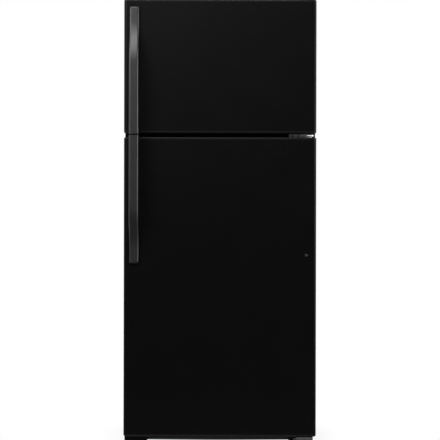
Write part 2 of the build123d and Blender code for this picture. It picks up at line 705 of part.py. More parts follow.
# Levels of the door bins: the lowest and the dairy compartment are set, the others between them
FREEZER_BIN_RISES = (60.0, 242.0)
FRIDGE_BIN_RISE = 240.0
FRIDGE_BIN_COUNT = 3
DAIRY_DROP = 163.0
FREEZER_BIN_LEVELS = tuple(FREEZER_FLOOR + rise for rise in FREEZER_BIN_RISES)
DAIRY_LEVEL = FRIDGE_TOP - DAIRY_DROP
LOWEST_BIN = CAVITY_FLOOR + FRIDGE_BIN_RISE
BIN_SPACING = (DAIRY_LEVEL - LOWEST_BIN) / FRIDGE_BIN_COUNT
FRIDGE_BIN_LEVELS = tuple(LOWEST_BIN + spot * BIN_SPACING for spot in range(FRIDGE_BIN_COUNT))

door(
    "freezer_door",
    FREEZER_DOOR_BOTTOM,
    DOOR_TOP,
    FREEZER_FLOOR,
    CAVITY_TOP,
    FREEZER_DOOR_BOTTOM - CENTER_PLATE_TOP - CLEAR,
    FREEZER_BIN_LEVELS,
)
door(
    "fridge_door",
    DOOR_BOTTOM,
    FRIDGE_DOOR_TOP,
    CAVITY_FLOOR,
    FRIDGE_TOP,
    DOOR_BOTTOM - BOTTOM_PLATE_TOP - CLEAR,
    (*FRIDGE_BIN_LEVELS, DAIRY_LEVEL),
    (PLUG_X, PLUG_LEVEL),
)

with BuildPart() as hole_plug:
    rod((PLUG_X, DOOR_FRONT, PLUG_LEVEL), (0, 1, 0), PLUG_STEM, PLUG_LENGTH)
    rod((PLUG_X, DOOR_FRONT, PLUG_LEVEL), (0, -1, 0), PLUG_HEAD, PLUG_DOME)
    chamfer(hole_plug.edges().group_by(Axis.Y)[0], PLUG_BEVEL)
finish(hole_plug, "hole_plug")

# Handles: long bars that leave the doors in an S-curve and end in a post at the split
HANDLE_SIDE_EDGE = 38.5
HANDLE_WIDTH = 34.0
HANDLE_LENGTH = 470.0
HANDLE_GAP = 4.5
HANDLE_BAR = 14.0
HANDLE_FOOT = 55.0
HANDLE_FOOT_THICK = 12.0
HANDLE_END = 5.0
HANDLE_SWEEP = 150.0
HANDLE_POST = 24.0
HANDLE_POST_ROUND = 16.0
HANDLE_TAB = 16.0
HANDLE_EDGE = 6.5
HANDLE_X = HANDLE_SIDE_EDGE - SIDE
HANDLE_OVERHANG = (DOOR_GAP - HANDLE_GAP) / 2
SWEEP_END = HANDLE_LENGTH - HANDLE_FOOT
SWEEP_START = SWEEP_END - HANDLE_SWEEP
SWEEP_MIDDLE = (SWEEP_START + SWEEP_END) / 2
BAR_BACK = HANDLE_STANDOFF - HANDLE_BAR

for name, away in (("freezer_door_handle", 1), ("fridge_door_handle", -1)):
    split_end = (HANDLE_X, DOOR_FRONT, DOOR_SPLIT + away * HANDLE_GAP / 2)
    side_view = Plane(origin=split_end, x_dir=(0, -1, 0), z_dir=(-away, 0, 0))
    front_middle = ((HANDLE_STANDOFF + HANDLE_FOOT_THICK) / 2, SWEEP_MIDDLE)
    back_middle = (BAR_BACK / 2, SWEEP_MIDDLE)
    with BuildPart() as handle:
        with BuildSketch(side_view):
            with BuildLine():
                Line((HANDLE_STANDOFF, 0), (HANDLE_STANDOFF, SWEEP_START))
                TangentArc((HANDLE_STANDOFF, SWEEP_START), front_middle, tangent=(0, 1))
                TangentArc(
                    (HANDLE_FOOT_THICK, SWEEP_END), front_middle, tangent=(0, -1)
                )
                Polyline(
                    (HANDLE_FOOT_THICK, SWEEP_END),
                    (HANDLE_FOOT_THICK, HANDLE_LENGTH - HANDLE_END),
                    (HANDLE_FOOT_THICK - HANDLE_END, HANDLE_LENGTH),
                    (0, HANDLE_LENGTH),
                    (0, SWEEP_END),
                )
                TangentArc((0, SWEEP_END), back_middle, tangent=(0, -1))
                TangentArc((BAR_BACK, SWEEP_START), back_middle, tangent=(0, 1))
                Line((BAR_BACK, SWEEP_START), (BAR_BACK, HANDLE_POST + HANDLE_POST_ROUND))
                TangentArc(
                    (BAR_BACK, HANDLE_POST + HANDLE_POST_ROUND),
                    (BAR_BACK - HANDLE_POST_ROUND, HANDLE_POST),
                    tangent=(0, -1),
                )
                Polyline(
                    (BAR_BACK - HANDLE_POST_ROUND, HANDLE_POST),
                    (0, HANDLE_POST),
                    (0, HANDLE_OVERHANG),
                    (-HANDLE_TAB, HANDLE_OVERHANG),
                    (-HANDLE_TAB, 0),
                    (HANDLE_STANDOFF, 0),
                )
            make_face()
        extrude(amount=HANDLE_WIDTH / 2, both=True)
        front_faces = handle.faces().filter_by(lambda f: f.normal_at().Y < -0.7)
        long_edges = front_faces.edges().filter_by(Axis.X, reverse=True)
        fillet(long_edges, HANDLE_EDGE)
    finish(handle, name)

# Door bins: moulded troughs that stand on the lugs between the sides of the dyke
BIN_WALL = 2.5
BIN_DEPTH = 100.0
BIN_HEIGHT = 95.0
BIN_CORNER = 14.0
BIN_SIDE = DYKE_INNER - CLEAR
BIN_FRONT = PANEL_REAR + BIN_DEPTH

for name, levels in (
    ("freezer_door_bins", FREEZER_BIN_LEVELS),
    ("fridge_door_bins", FRIDGE_BIN_LEVELS),
):
    with BuildPart() as bins:
        for level in levels:
            with BuildSketch(Plane.XY.offset(level)) as bin_plan:
                with Locations((0, (PANEL_REAR + BIN_FRONT) / 2)):
                    Rectangle(2 * BIN_SIDE, BIN_DEPTH)
                fillet(bin_plan.vertices().group_by(Axis.Y)[-1], BIN_CORNER)
            extrude(amount=BIN_HEIGHT)
            with BuildSketch(Plane.XY.offset(level + BIN_WALL)) as bin_room:
                with Locations((0, (PANEL_REAR + BIN_FRONT) / 2)):
                    Rectangle(2 * (BIN_SIDE - BIN_WALL), BIN_DEPTH - 2 * BIN_WALL)
                fillet(bin_room.vertices().group_by(Axis.Y)[-1], BIN_CORNER - BIN_WALL)
            extrude(amount=BIN_HEIGHT, mode=Mode.SUBTRACT)
    finish(bins, name)

# Dairy compartment: a box that opens into the cabinet, with a lid on two pivots
DAIRY_HEIGHT = 100.0
DAIRY_DEPTH = 95.0
LID_BARREL = 5.0
LID_PIVOT = 2.5
LID_SPAN_PLAY = 0.5
DAIRY_TOP = DAIRY_LEVEL + DAIRY_HEIGHT
DAIRY_FRONT = PANEL_REAR + DAIRY_DEPTH
LID_Y = DAIRY_FRONT - LID_BARREL
LID_Z = DAIRY_TOP - BIN_WALL - CLEAR - LID_BARREL
LID_SIDE = BIN_SIDE - BIN_WALL - LID_SPAN_PLAY

with BuildPart() as dairy_bin:
    block((-BIN_SIDE, PANEL_REAR, DAIRY_LEVEL), (BIN_SIDE, DAIRY_FRONT, DAIRY_TOP))
    block(
        (BIN_WALL - BIN_SIDE, PANEL_REAR + BIN_WALL, DAIRY_LEVEL + BIN_WALL),
        (BIN_SIDE - BIN_WALL, DAIRY_FRONT, DAIRY_TOP - BIN_WALL),
        mode=Mode.SUBTRACT,
    )
    rod((-BIN_SIDE, LID_Y, LID_Z), (1, 0, 0), LID_PIVOT + RUNNING, 2 * BIN_SIDE, mode=Mode.SUBTRACT)
finish(dairy_bin, "dairy_bin")

with BuildPart() as dairy_lid:
    rod((-LID_SIDE, LID_Y, LID_Z), (1, 0, 0), LID_BARREL, 2 * LID_SIDE)
    block(
        (-LID_SIDE, DAIRY_FRONT - BIN_WALL, DAIRY_LEVEL + BIN_WALL + LID_SPAN_PLAY),
        (LID_SIDE, DAIRY_FRONT, LID_Z),
    )
    rod((-BIN_SIDE, LID_Y, LID_Z), (1, 0, 0), LID_PIVOT, 2 * BIN_SIDE)
finish(dairy_lid, "dairy_lid")

# Hinges: pressed steel plates with pins, screwed to the top, the centre rail and the base
TOP_PLATE = 3.0
HINGE_NOSE = 14.0
HINGE_FLANGE = 3.0
TOP_PLATE_INNER = 27.5
TOP_PLATE_OUTER = 14.0
TOP_PLATE_LENGTH = 60.0
TOP_PLATE_SETBACK = 8.0
TOP_SCREW_INNER = 14.0
TOP_SCREW_OUTER = 7.0
TOP_SCREW_END = 15.0
CENTER_REACH = 75.0
CENTER_END = 12.0
CENTER_FLANGE_HEIGHT = 22.0
CENTER_ARM = 44.0
CENTER_SCREW_REACHES = (61.0, 40.0)
BOTTOM_REACH = 50.0
BOTTOM_LIP = 10.0
BOTTOM_LIP_SETBACK = 2.5
BOTTOM_FLANGE = 18.0
BOTTOM_SCREW_REACHES = (37.0, 2.0)
BOTTOM_SCREW_DROP = 11.0
SCREW_RADIUS = 2.5
SCREW_HEAD = 5.5
SCREW_HEAD_HEIGHT = 3.5
TOP_PLATE_TOP = CABINET_TOP + TOP_PLATE
TOP_PLATE_FRONT = CABINET_FRONT + TOP_PLATE_SETBACK
TOP_PLATE_BACK = TOP_PLATE_FRONT + TOP_PLATE_LENGTH
FLANGE_FACE = CABINET_FRONT - HINGE_FLANGE
CENTER_FLANGE_LEFT = HINGE_X - CENTER_REACH
CENTER_FLANGE_RIGHT = HINGE_X + CENTER_END
BOTTOM_LEFT = HINGE_X - BOTTOM_REACH
BOTTOM_LIP_LOW = BOTTOM_PLATE_TOP - BOTTOM_LIP
BOTTOM_FLANGE_LOW = BOTTOM_PLATE_TOP - BOTTOM_FLANGE
BOTTOM_SCREW_LEVEL = BOTTOM_PLATE_TOP - BOTTOM_SCREW_DROP
top_screws = [
    (HINGE_X - TOP_SCREW_INNER, TOP_PLATE_BACK - TOP_SCREW_END, CABINET_TOP),
    (HINGE_X - TOP_SCREW_INNER, TOP_PLATE_FRONT + TOP_SCREW_END, CABINET_TOP),
    (HINGE_X + TOP_SCREW_OUTER, TOP_PLATE_BACK - TOP_SCREW_END, CABINET_TOP),
]
center_screws = [(HINGE_X - reach, CABINET_FRONT, DOOR_SPLIT) for reach in CENTER_SCREW_REACHES]
bottom_screws = [
    (HINGE_X - reach, CABINET_FRONT, BOTTOM_SCREW_LEVEL) for reach in BOTTOM_SCREW_REACHES
]

with BuildSketch() as top_hinge_plan:
    with Locations((HINGE_X, HINGE_Y)):
        Circle(HINGE_NOSE)
    plate_middle = HINGE_X + (TOP_PLATE_OUTER - TOP_PLATE_INNER) / 2
    with Locations((plate_middle, (TOP_PLATE_FRONT + TOP_PLATE_BACK) / 2)):
        Rectangle(TOP_PLATE_INNER + TOP_PLATE_OUTER, TOP_PLATE_LENGTH)
    make_hull()

with BuildPart() as top_hinge:
    with BuildSketch(Plane.XY.offset(CABINET_TOP)):
        add(top_hinge_plan.sketch)
    extrude(amount=TOP_PLATE)
    rod((HINGE_X, HINGE_Y, TOP_PLATE_TOP), (0, 0, -1), PIN_RADIUS, TOP_PLATE_TOP - DOOR_TOP + PIN_DEPTH)
    for spot in top_screws:
        rod(spot, (0, 0, 1), SCREW_RADIUS, TOP_PLATE, mode=Mode.SUBTRACT)
finish(top_hinge, "top_hinge")

COVER_HEIGHT = 20.0
COVER_WALL = 2.0
COVER_ROOM = 2.0
COVER_BEVEL = 2.5

with BuildPart() as top_hinge_cover:
    with BuildSketch(Plane.XY.offset(CABINET_TOP)):
        add(top_hinge_plan.sketch)
        offset(amount=COVER_ROOM + COVER_WALL)
    extrude(amount=COVER_HEIGHT)
    chamfer(top_hinge_cover.edges().group_by(Axis.Z)[-1], COVER_BEVEL)
    with BuildSketch(Plane.XY.offset(CABINET_TOP)):
        add(top_hinge_plan.sketch)
        offset(amount=COVER_ROOM)
    extrude(amount=COVER_HEIGHT - COVER_WALL, mode=Mode.SUBTRACT)
finish(top_hinge_cover, "top_hinge_cover")

with BuildPart() as center_hinge:
    with BuildSketch(Plane.XY.offset(CENTER_PLATE_BOTTOM)):
        with Locations((HINGE_X, HINGE_Y)):
            Circle(HINGE_NOSE)
        with Locations((CENTER_FLANGE_RIGHT - CENTER_ARM / 2, CABINET_FRONT - HINGE_NOSE / 2)):
            Rectangle(CENTER_ARM, HINGE_NOSE)
        make_hull()
    extrude(amount=HINGE_PLATE)
    block(
        (CENTER_FLANGE_LEFT, FLANGE_FACE, DOOR_SPLIT - CENTER_FLANGE_HEIGHT / 2),
        (CENTER_FLANGE_RIGHT, CABINET_FRONT, DOOR_SPLIT + CENTER_FLANGE_HEIGHT / 2),
    )
    pin_end = FREEZER_DOOR_BOTTOM + PIN_DEPTH
    rod((HINGE_X, HINGE_Y, DOOR_SPLIT), (0, 0, 1), PIN_RADIUS, pin_end - DOOR_SPLIT)
    rod((HINGE_X, HINGE_Y, DOOR_SPLIT), (0, 0, -1), PIN_RADIUS, DOOR_SPLIT - FRIDGE_DOOR_TOP + PIN_DEPTH)
    for spot in center_screws:
        rod(spot, (0, -1, 0), SCREW_RADIUS, HINGE_FLANGE, mode=Mode.SUBTRACT)
finish(center_hinge, "center_hinge")

with BuildPart() as bottom_hinge:
    lip_front = DOOR_FRONT + BOTTOM_LIP_SETBACK
    with BuildSketch(Plane.YZ.offset(BOTTOM_LEFT)):
        with BuildLine():
            Polyline(
                (lip_front, BOTTOM_LIP_LOW),
                (lip_front, BOTTOM_PLATE_TOP),
                (CABINET_FRONT, BOTTOM_PLATE_TOP),
                (CABINET_FRONT, BOTTOM_FLANGE_LOW),
                (FLANGE_FACE, BOTTOM_FLANGE_LOW),
                (FLANGE_FACE, BOTTOM_PLATE_TOP - HINGE_PLATE),
                (lip_front + HINGE_FLANGE, BOTTOM_PLATE_TOP - HINGE_PLATE),
                (lip_front + HINGE_FLANGE, BOTTOM_LIP_LOW),
                close=True,
            )
        make_face()
    extrude(amount=APRON_SIDE - BOTTOM_LEFT)
    pin_end = DOOR_BOTTOM + PIN_DEPTH
    rod((HINGE_X, HINGE_Y, BOTTOM_PLATE_TOP), (0, 0, 1), PIN_RADIUS, pin_end - BOTTOM_PLATE_TOP)
    for spot in bottom_screws:
        rod(spot, (0, -1, 0), SCREW_RADIUS, HINGE_FLANGE, mode=Mode.SUBTRACT)
finish(bottom_hinge, "bottom_hinge")

with BuildPart() as hinge_screws:
    for spot in top_screws:
        rod(spot, (0, 0, 1), SCREW_RADIUS, TOP_PLATE)
        head = (spot[0], spot[1], TOP_PLATE_TOP)
        prism(head, (0, 0, 1), SCREW_HEAD, HEX_SIDES, SCREW_HEAD_HEIGHT)
    for spot in (*center_screws, *bottom_screws):
        rod(spot, (0, -1, 0), SCREW_RADIUS, HINGE_FLANGE)
        head = (spot[0], FLANGE_FACE, spot[2])
        prism(head, (0, -1, 0), SCREW_HEAD, HEX_SIDES, SCREW_HEAD_HEIGHT)
finish(hinge_screws, "hinge_screws")

# Shelves of the fridge: plastic frames on the ledges, each with a pane in its rebate
FRAME_HEIGHT = 14.0
FRAME_RIM = 18.0
FRAME_ROUND = 4.0
SHELF_SIDE_GAP = 1.5
PANE = 4.0
PANE_LAP = 6.0
SHELF_SIDE = CAVITY_SIDE - SHELF_SIDE_GAP
shelves = [(CRISPER_COVER_LEVEL, COVER_SHELF_BACK), *((level, SHELF_BACK) for level in SHELF_LEVELS)]


def inset_block(inset, low, high, back, mode=Mode.ADD):
    """A block over a shelf's plan, drawn in all round by an inset."""
    block(
        (inset - SHELF_SIDE, SHELF_FRONT + inset, low),
        (SHELF_SIDE - inset, back - inset, high),
        mode=mode,
    )


with BuildPart() as shelf_frames:
    for level, back in shelves:
        inset_block(0, level, level + FRAME_HEIGHT, back)
    front_edges = shelf_frames.edges().filter_by(Axis.X).group_by(Axis.Y)[0]
    fillet(front_edges, FRAME_ROUND)
    for level, back in shelves:
        top = level + FRAME_HEIGHT
        inset_block(FRAME_RIM, level, top, back, mode=Mode.SUBTRACT)
        inset_block(FRAME_RIM - PANE_LAP, top - PANE, top, back, mode=Mode.SUBTRACT)
finish(shelf_frames, "shelf_frames")

with BuildPart() as shelf_glass:
    for level, back in shelves:
        top = level + FRAME_HEIGHT
        inset_block(FRAME_RIM - PANE_LAP + CLEAR, top - PANE, top, back)
finish(shelf_glass, "shelf_glass")

# Freezer shelf: wires welded across three bars that lie on the ledges
BAR_RADIUS = 3.0
WIRE_RADIUS = 1.75
WIRE_SIDES = 6
WIRE_COUNT = 23
WIRE_SINK = 0.75
BAR_END_GAP = 2.0
BAR_INSET = 12.0

with BuildPart() as freezer_shelf:
    bar_level = FREEZER_SHELF_LEVEL + BAR_RADIUS
    bar_side = CAVITY_SIDE - BAR_END_GAP
    wire_level = bar_level + BAR_RADIUS + WIRE_RADIUS - WIRE_SINK
    wire_pitch = 2 * (bar_side - BAR_INSET) / (WIRE_COUNT - 1)
    shelf_middle = (SHELF_FRONT + FREEZER_SHELF_BACK) / 2
    for bar_y in (SHELF_FRONT + BAR_INSET, shelf_middle, FREEZER_SHELF_BACK - BAR_INSET):
        prism((-bar_side, bar_y, bar_level), (1, 0, 0), BAR_RADIUS, WIRE_SIDES, 2 * bar_side)
    for wire in range(WIRE_COUNT):
        wire_x = BAR_INSET - bar_side + wire * wire_pitch
        start = (wire_x, SHELF_FRONT, wire_level)
        prism(start, (0, 1, 0), WIRE_RADIUS, WIRE_SIDES, FREEZER_SHELF_BACK - SHELF_FRONT)
finish(freezer_shelf, "freezer_shelf")

# Crisper drawers: drafted tubs on the glides, with a lip to pull at the front
CRISPER_LIP = 14.0
CRISPER_LIP_THICK = 4.0
CRISPER_LIP_INSET = 20.0
CRISPER_WALL = 2.5
CRISPER_DRAFT = 6.0
CRISPER_CORNER = 16.0
CRISPER_HEAD_GAP = 2.0
CRISPER_BACK_GAP = 5.0
CRISPER_LOW = CAVITY_FLOOR + GLIDE_HEIGHT + CLEAR
CRISPER_HIGH = CRISPER_COVER_LEVEL - LEDGE_HEIGHT - CRISPER_HEAD_GAP
CRISPER_FRONT = SHELF_FRONT + CRISPER_LIP
CRISPER_BACK = GLIDE_BACK - CRISPER_BACK_GAP
CRISPER_WIDE = CRISPER_SIDE - CRISPER_GAP
CRISPER_LONG = CRISPER_BACK - CRISPER_FRONT

for hand, name in ((-1, "crisper_left"), (1, "crisper_right")):
    middle = (hand * (CRISPER_SIDE + CRISPER_GAP) / 2, (CRISPER_FRONT + CRISPER_BACK) / 2)
    with BuildPart() as crisper:
        for wall, floor, mode in (
            (0, CRISPER_LOW, Mode.ADD),
            (CRISPER_WALL, CRISPER_LOW + CRISPER_WALL, Mode.SUBTRACT),
        ):
            for level, draft in ((floor, CRISPER_DRAFT), (CRISPER_HIGH, 0)):
                with BuildSketch(Plane.XY.offset(level)):
                    with Locations(middle):
                        RectangleRounded(
                            CRISPER_WIDE - 2 * (wall + draft),
                            CRISPER_LONG - 2 * (wall + draft),
                            CRISPER_CORNER - wall,
                        )
            loft(mode=mode)
        lip_side = CRISPER_WIDE / 2 - CRISPER_LIP_INSET
        block(
            (middle[0] - lip_side, SHELF_FRONT, CRISPER_HIGH - CRISPER_LIP_THICK),
            (middle[0] + lip_side, CRISPER_FRONT + CRISPER_WALL, CRISPER_HIGH),
        )
    finish(crisper, name)

# Control housing on the ceiling of the fridge, with two dials and a light behind it
CONTROL_SIDE = 150.0
CONTROL_SETBACK = 211.5
CONTROL_DEPTH = 120.0
CONTROL_HEIGHT = 44.0
CONTROL_BEVEL = 12.0
DIAL_X = 75.0
DIAL_DROP = 16.0
DIAL_RADIUS = 13.0
DIAL_DEPTH = 13.0
DIAL_BEVEL = 1.75
DIAL_GRIP = 4.0
DIAL_GRIP_RISE = 5.0
DIAL_SHAFT = 3.0
DIAL_SHAFT_LENGTH = 12.0
CONTROL_FRONT = CABINET_FRONT + CONTROL_SETBACK
CONTROL_BACK = CONTROL_FRONT + CONTROL_DEPTH
DIAL_LEVEL = FRIDGE_TOP - DIAL_DROP

with BuildPart() as control_housing:
    with BuildSketch(Plane.YZ.offset(-CONTROL_SIDE)):
        Polygon(
            (CONTROL_FRONT, FRIDGE_TOP),
            (CONTROL_FRONT, FRIDGE_TOP - CONTROL_HEIGHT + CONTROL_BEVEL),
            (CONTROL_FRONT + CONTROL_BEVEL, FRIDGE_TOP - CONTROL_HEIGHT),
            (CONTROL_BACK, FRIDGE_TOP - CONTROL_HEIGHT),
            (CONTROL_BACK, FRIDGE_TOP),
            align=None,
        )
    extrude(amount=2 * CONTROL_SIDE)
    for hand in (-1, 1):
        rod(
            (hand * DIAL_X, CONTROL_FRONT, DIAL_LEVEL),
            (0, 1, 0),
            DIAL_SHAFT + RUNNING,
            DIAL_SHAFT_LENGTH + CLEAR,
            mode=Mode.SUBTRACT,
        )
finish(control_housing, "control_housing")

for hand, name in ((-1, "fridge_control_knob"), (1, "freezer_control_knob")):
    dial_back = CONTROL_FRONT - CLEAR
    dial_face = dial_back - DIAL_DEPTH
    with BuildPart() as knob:
        rod((hand * DIAL_X, dial_back, DIAL_LEVEL), (0, -1, 0), DIAL_RADIUS, DIAL_DEPTH)
        chamfer(knob.edges().group_by(Axis.Y)[0], DIAL_BEVEL)
        block(
            (hand * DIAL_X - DIAL_GRIP / 2, dial_face - DIAL_GRIP_RISE, DIAL_LEVEL - DIAL_RADIUS + DIAL_GRIP),
            (hand * DIAL_X + DIAL_GRIP / 2, dial_face, DIAL_LEVEL + DIAL_RADIUS - DIAL_GRIP),
        )
        rod((hand * DIAL_X, dial_back, DIAL_LEVEL), (0, 1, 0), DIAL_SHAFT, DIAL_SHAFT_LENGTH)
    finish(knob, name)

LENS_SIDE = 60.0
LENS_DEPTH = 70.0
LENS_HEIGHT = 34.0
LENS_WALL = 2.0
LENS_ROUND = 10.0

with BuildPart() as light_lens:
    block(
        (-LENS_SIDE, CONTROL_BACK, FRIDGE_TOP - LENS_HEIGHT),
        (LENS_SIDE, CONTROL_BACK + LENS_DEPTH, FRIDGE_TOP),
    )
    fillet(light_lens.edges().group_by(Axis.Z)[0], LENS_ROUND)
    offset(amount=-LENS_WALL, openings=light_lens.faces().sort_by(Axis.Z)[-1])
finish(light_lens, "light_lens")

# Light switch at the mouth of the fridge, with a plunger that the closed door holds in
SWITCH_SIDE_GAP = 60.5
SWITCH_SETBACK = 46.5
SWITCH_WIDTH = 28.0
SWITCH_DEPTH = 40.0
SWITCH_HEIGHT = 34.0
SWITCH_DROP = 23.0
PLUNGER_RADIUS = 5.0
PLUNGER_BEVEL = 1.5
PLUNGER_HELD = 12.0
PLUNGER_ROOM = 20.0
SWITCH_X = CAVITY_SIDE - SWITCH_SIDE_GAP
SWITCH_FRONT = CABINET_FRONT + SWITCH_SETBACK
PLUNGER_LEVEL = FRIDGE_TOP - SWITCH_DROP
PLUNGER_TIP = PANEL_REAR + DYKE_HEIGHT + CLEAR

with BuildPart() as light_switch:
    block(
        (SWITCH_X - SWITCH_WIDTH / 2, SWITCH_FRONT, FRIDGE_TOP - SWITCH_HEIGHT),
        (SWITCH_X + SWITCH_WIDTH / 2, SWITCH_FRONT + SWITCH_DEPTH, FRIDGE_TOP),
    )
    rod(
        (SWITCH_X, SWITCH_FRONT, PLUNGER_LEVEL),
        (0, 1, 0),
        PLUNGER_RADIUS + RUNNING,
        PLUNGER_ROOM,
        mode=Mode.SUBTRACT,
    )
finish(light_switch, "light_switch")

with BuildPart() as light_switch_button:
    rod(
        (SWITCH_X, PLUNGER_TIP, PLUNGER_LEVEL),
        (0, 1, 0),
        PLUNGER_RADIUS,
        SWITCH_FRONT + PLUNGER_HELD - PLUNGER_TIP,
    )
    chamfer(light_switch_button.edges().group_by(Axis.Y)[0], PLUNGER_BEVEL)
finish(light_switch_button, "light_switch_button")

# Evaporator: tubes through plate fins against the back wall of the freezer
COIL_TUBE = 4.0
FIN = 1.0
TUBE_SIDES = 6
EVAPORATOR_SIDE_GAP = 80.5
EVAPORATOR_RISE = 38.0
EVAPORATOR_HEIGHT = 150.0
EVAPORATOR_DEPTH = 46.0
EVAPORATOR_FINS = 7
EVAPORATOR_TUBES = 4
EVAPORATOR_END = 16.0
EVAPORATOR_SIDE = CAVITY_SIDE - EVAPORATOR_SIDE_GAP
EVAPORATOR_LOW = FREEZER_FLOOR + EVAPORATOR_RISE

with BuildPart() as evaporator:
    fin_pitch = 2 * EVAPORATOR_SIDE / (EVAPORATOR_FINS - 1)
    tube_pitch = EVAPORATOR_HEIGHT / EVAPORATOR_TUBES
    coil_y = CAVITY_BACK - EVAPORATOR_DEPTH / 2
    for fin in range(EVAPORATOR_FINS):
        fin_x = fin * fin_pitch - EVAPORATOR_SIDE
        block(
            (fin_x - FIN / 2, CAVITY_BACK - EVAPORATOR_DEPTH, EVAPORATOR_LOW),
            (fin_x + FIN / 2, CAVITY_BACK, EVAPORATOR_LOW + EVAPORATOR_HEIGHT),
        )
    reach = EVAPORATOR_SIDE + EVAPORATOR_END
    for tube in range(EVAPORATOR_TUBES):
        tube_z = EVAPORATOR_LOW + (tube + 0.5) * tube_pitch
        prism((-reach, coil_y, tube_z), (1, 0, 0), COIL_TUBE, TUBE_SIDES, 2 * reach)
    for bend in range(EVAPORATOR_TUBES - 1):
        bend_end = 1 if bend % 2 == 0 else -1
        bend_z = EVAPORATOR_LOW + (bend + 1) * tube_pitch
        with BuildSketch(Plane.YZ.offset(bend_end * reach)):
            with Locations((coil_y, bend_z - tube_pitch / 2)):
                RegularPolygon(COIL_TUBE, TUBE_SIDES)
        bend_axis = Axis((bend_end * reach, coil_y, bend_z), (0, -bend_end, 0))
        revolve(axis=bend_axis, revolution_arc=180)
finish(evaporator, "evaporator")

# Evaporator cover: the inner back wall of the freezer, slotted for the fan and the return air
EVAPORATOR_FAN_RISE = 302.0
FAN_SLOTS = 9
FAN_SLOT_PITCH = 11.0
FAN_SLOT_WIDTH = 6.0
FAN_OPENING = 50.0
RETURN_SLOTS = 8
RETURN_PITCH = 60.0
RETURN_WIDTH = 44.0
RETURN_HEIGHT = 8.0
RETURN_RISE = 22.0
FAN_LEVEL = FREEZER_FLOOR + EVAPORATOR_FAN_RISE
COVER_FACE = CAVITY_BACK - COIL_SPACE - LINER

with BuildPart() as evaporator_cover:
    add(freezer_room)
    block(
        (-SIDE, COVER_FACE, 0),
        (SIDE, COVER_FACE + LINER, CABINET_TOP),
        mode=Mode.INTERSECT,
    )
    with BuildSketch(Plane.XZ.offset(-COVER_FACE)):
        for slot in range(FAN_SLOTS):
            slot_x = (slot - (FAN_SLOTS - 1) / 2) * FAN_SLOT_PITCH
            with Locations((slot_x, FAN_LEVEL)):
                Rectangle(FAN_SLOT_WIDTH, 2 * sqrt(FAN_OPENING**2 - slot_x**2))
        with Locations((0, FREEZER_FLOOR + RETURN_RISE)):
            with GridLocations(RETURN_PITCH, RETURN_HEIGHT, RETURN_SLOTS, 1):
                Rectangle(RETURN_WIDTH, RETURN_HEIGHT)
    extrude(amount=-LINER, mode=Mode.SUBTRACT)
finish(evaporator_cover, "evaporator_cover")

# Fans: a wheel on a shaft that turns in its motor
FAN_SHAFT = 3.0
BLADE = 2.0
BLADE_COUNT = 4
BLADE_TILT = 30.0
BLADE_ROOT = 4.0


def fan_wheel(name, middle, axis, hub, hub_length, tip, blade_width, shaft_length):
    """A hub with tilted blades, and a shaft that runs back from its middle."""
    with BuildPart(Plane(origin=middle, z_dir=axis)) as wheel:
        Cylinder(hub, hub_length)
        with PolarLocations((hub - BLADE_ROOT + tip) / 2, BLADE_COUNT):
            Box(tip - hub + BLADE_ROOT, blade_width, BLADE, rotation=(BLADE_TILT, 0, 0))
        Cylinder(FAN_SHAFT, shaft_length, align=(Align.CENTER, Align.CENTER, Align.MAX))
    finish(wheel, name)


EVAPORATOR_MOTOR_RADIUS = 24.0
EVAPORATOR_MOTOR_LENGTH = 28.0
MOTOR_BEVEL = 3.0
SHAFT_HELD = 12.0
BEARING_DEPTH = 16.0
EVAPORATOR_WHEEL_GAP = 12.0
EVAPORATOR_HUB = 12.0
EVAPORATOR_HUB_LENGTH = 12.0
EVAPORATOR_TIP = 46.0
EVAPORATOR_BLADE = 22.0
MOTOR_FACE = CAVITY_BACK - EVAPORATOR_MOTOR_LENGTH

with BuildPart() as evaporator_fan_motor:
    rod((0, CAVITY_BACK, FAN_LEVEL), (0, -1, 0), EVAPORATOR_MOTOR_RADIUS, EVAPORATOR_MOTOR_LENGTH)
    chamfer(evaporator_fan_motor.edges().group_by(Axis.Y)[0], MOTOR_BEVEL)
    rod((0, MOTOR_FACE, FAN_LEVEL), (0, 1, 0), FAN_SHAFT + RUNNING, BEARING_DEPTH, mode=Mode.SUBTRACT)
finish(evaporator_fan_motor, "evaporator_fan_motor")
fan_wheel(
    "evaporator_fan_blade",
    (0, MOTOR_FACE - EVAPORATOR_WHEEL_GAP, FAN_LEVEL),
    (0, -1, 0),
    EVAPORATOR_HUB,
    EVAPORATOR_HUB_LENGTH,
    EVAPORATOR_TIP,
    EVAPORATOR_BLADE,
    EVAPORATOR_WHEEL_GAP + SHAFT_HELD,
)

# Compressor: a welded steel pot on a foot plate and four rubber grommets
COMPRESSOR_EDGE = 165.5
MACHINE_MIDDLE_GAP = 94.0
POT_RADIUS = 68.0
POT_HEIGHT = 150.0
POT_DOME = 36.0
SEAM_RADIUS = 71.0
SEAM_HEIGHT = 5.0
FOOT_SHEET = 3.0
FOOT_WIDE = 184.0
FOOT_LONG = 128.0
FOOT_CORNER = 14.0
GROMMET_RADIUS = 11.0
GROMMET_HEIGHT = 18.0
GROMMET_INSET = 16.0
TERMINAL_BOX = (46.0, 24.0, 44.0)
TERMINAL_SINK = 6.0
STUB_RADIUS = 4.0
STUB_RISE = 16.0
COMPRESSOR_X = COMPRESSOR_EDGE - SIDE
MACHINE_Y = BACK - MACHINE_MIDDLE_GAP
FOOT_LEVEL = BASE_PLATE_TOP + GROMMET_HEIGHT
POT_LEVEL = FOOT_LEVEL + FOOT_SHEET

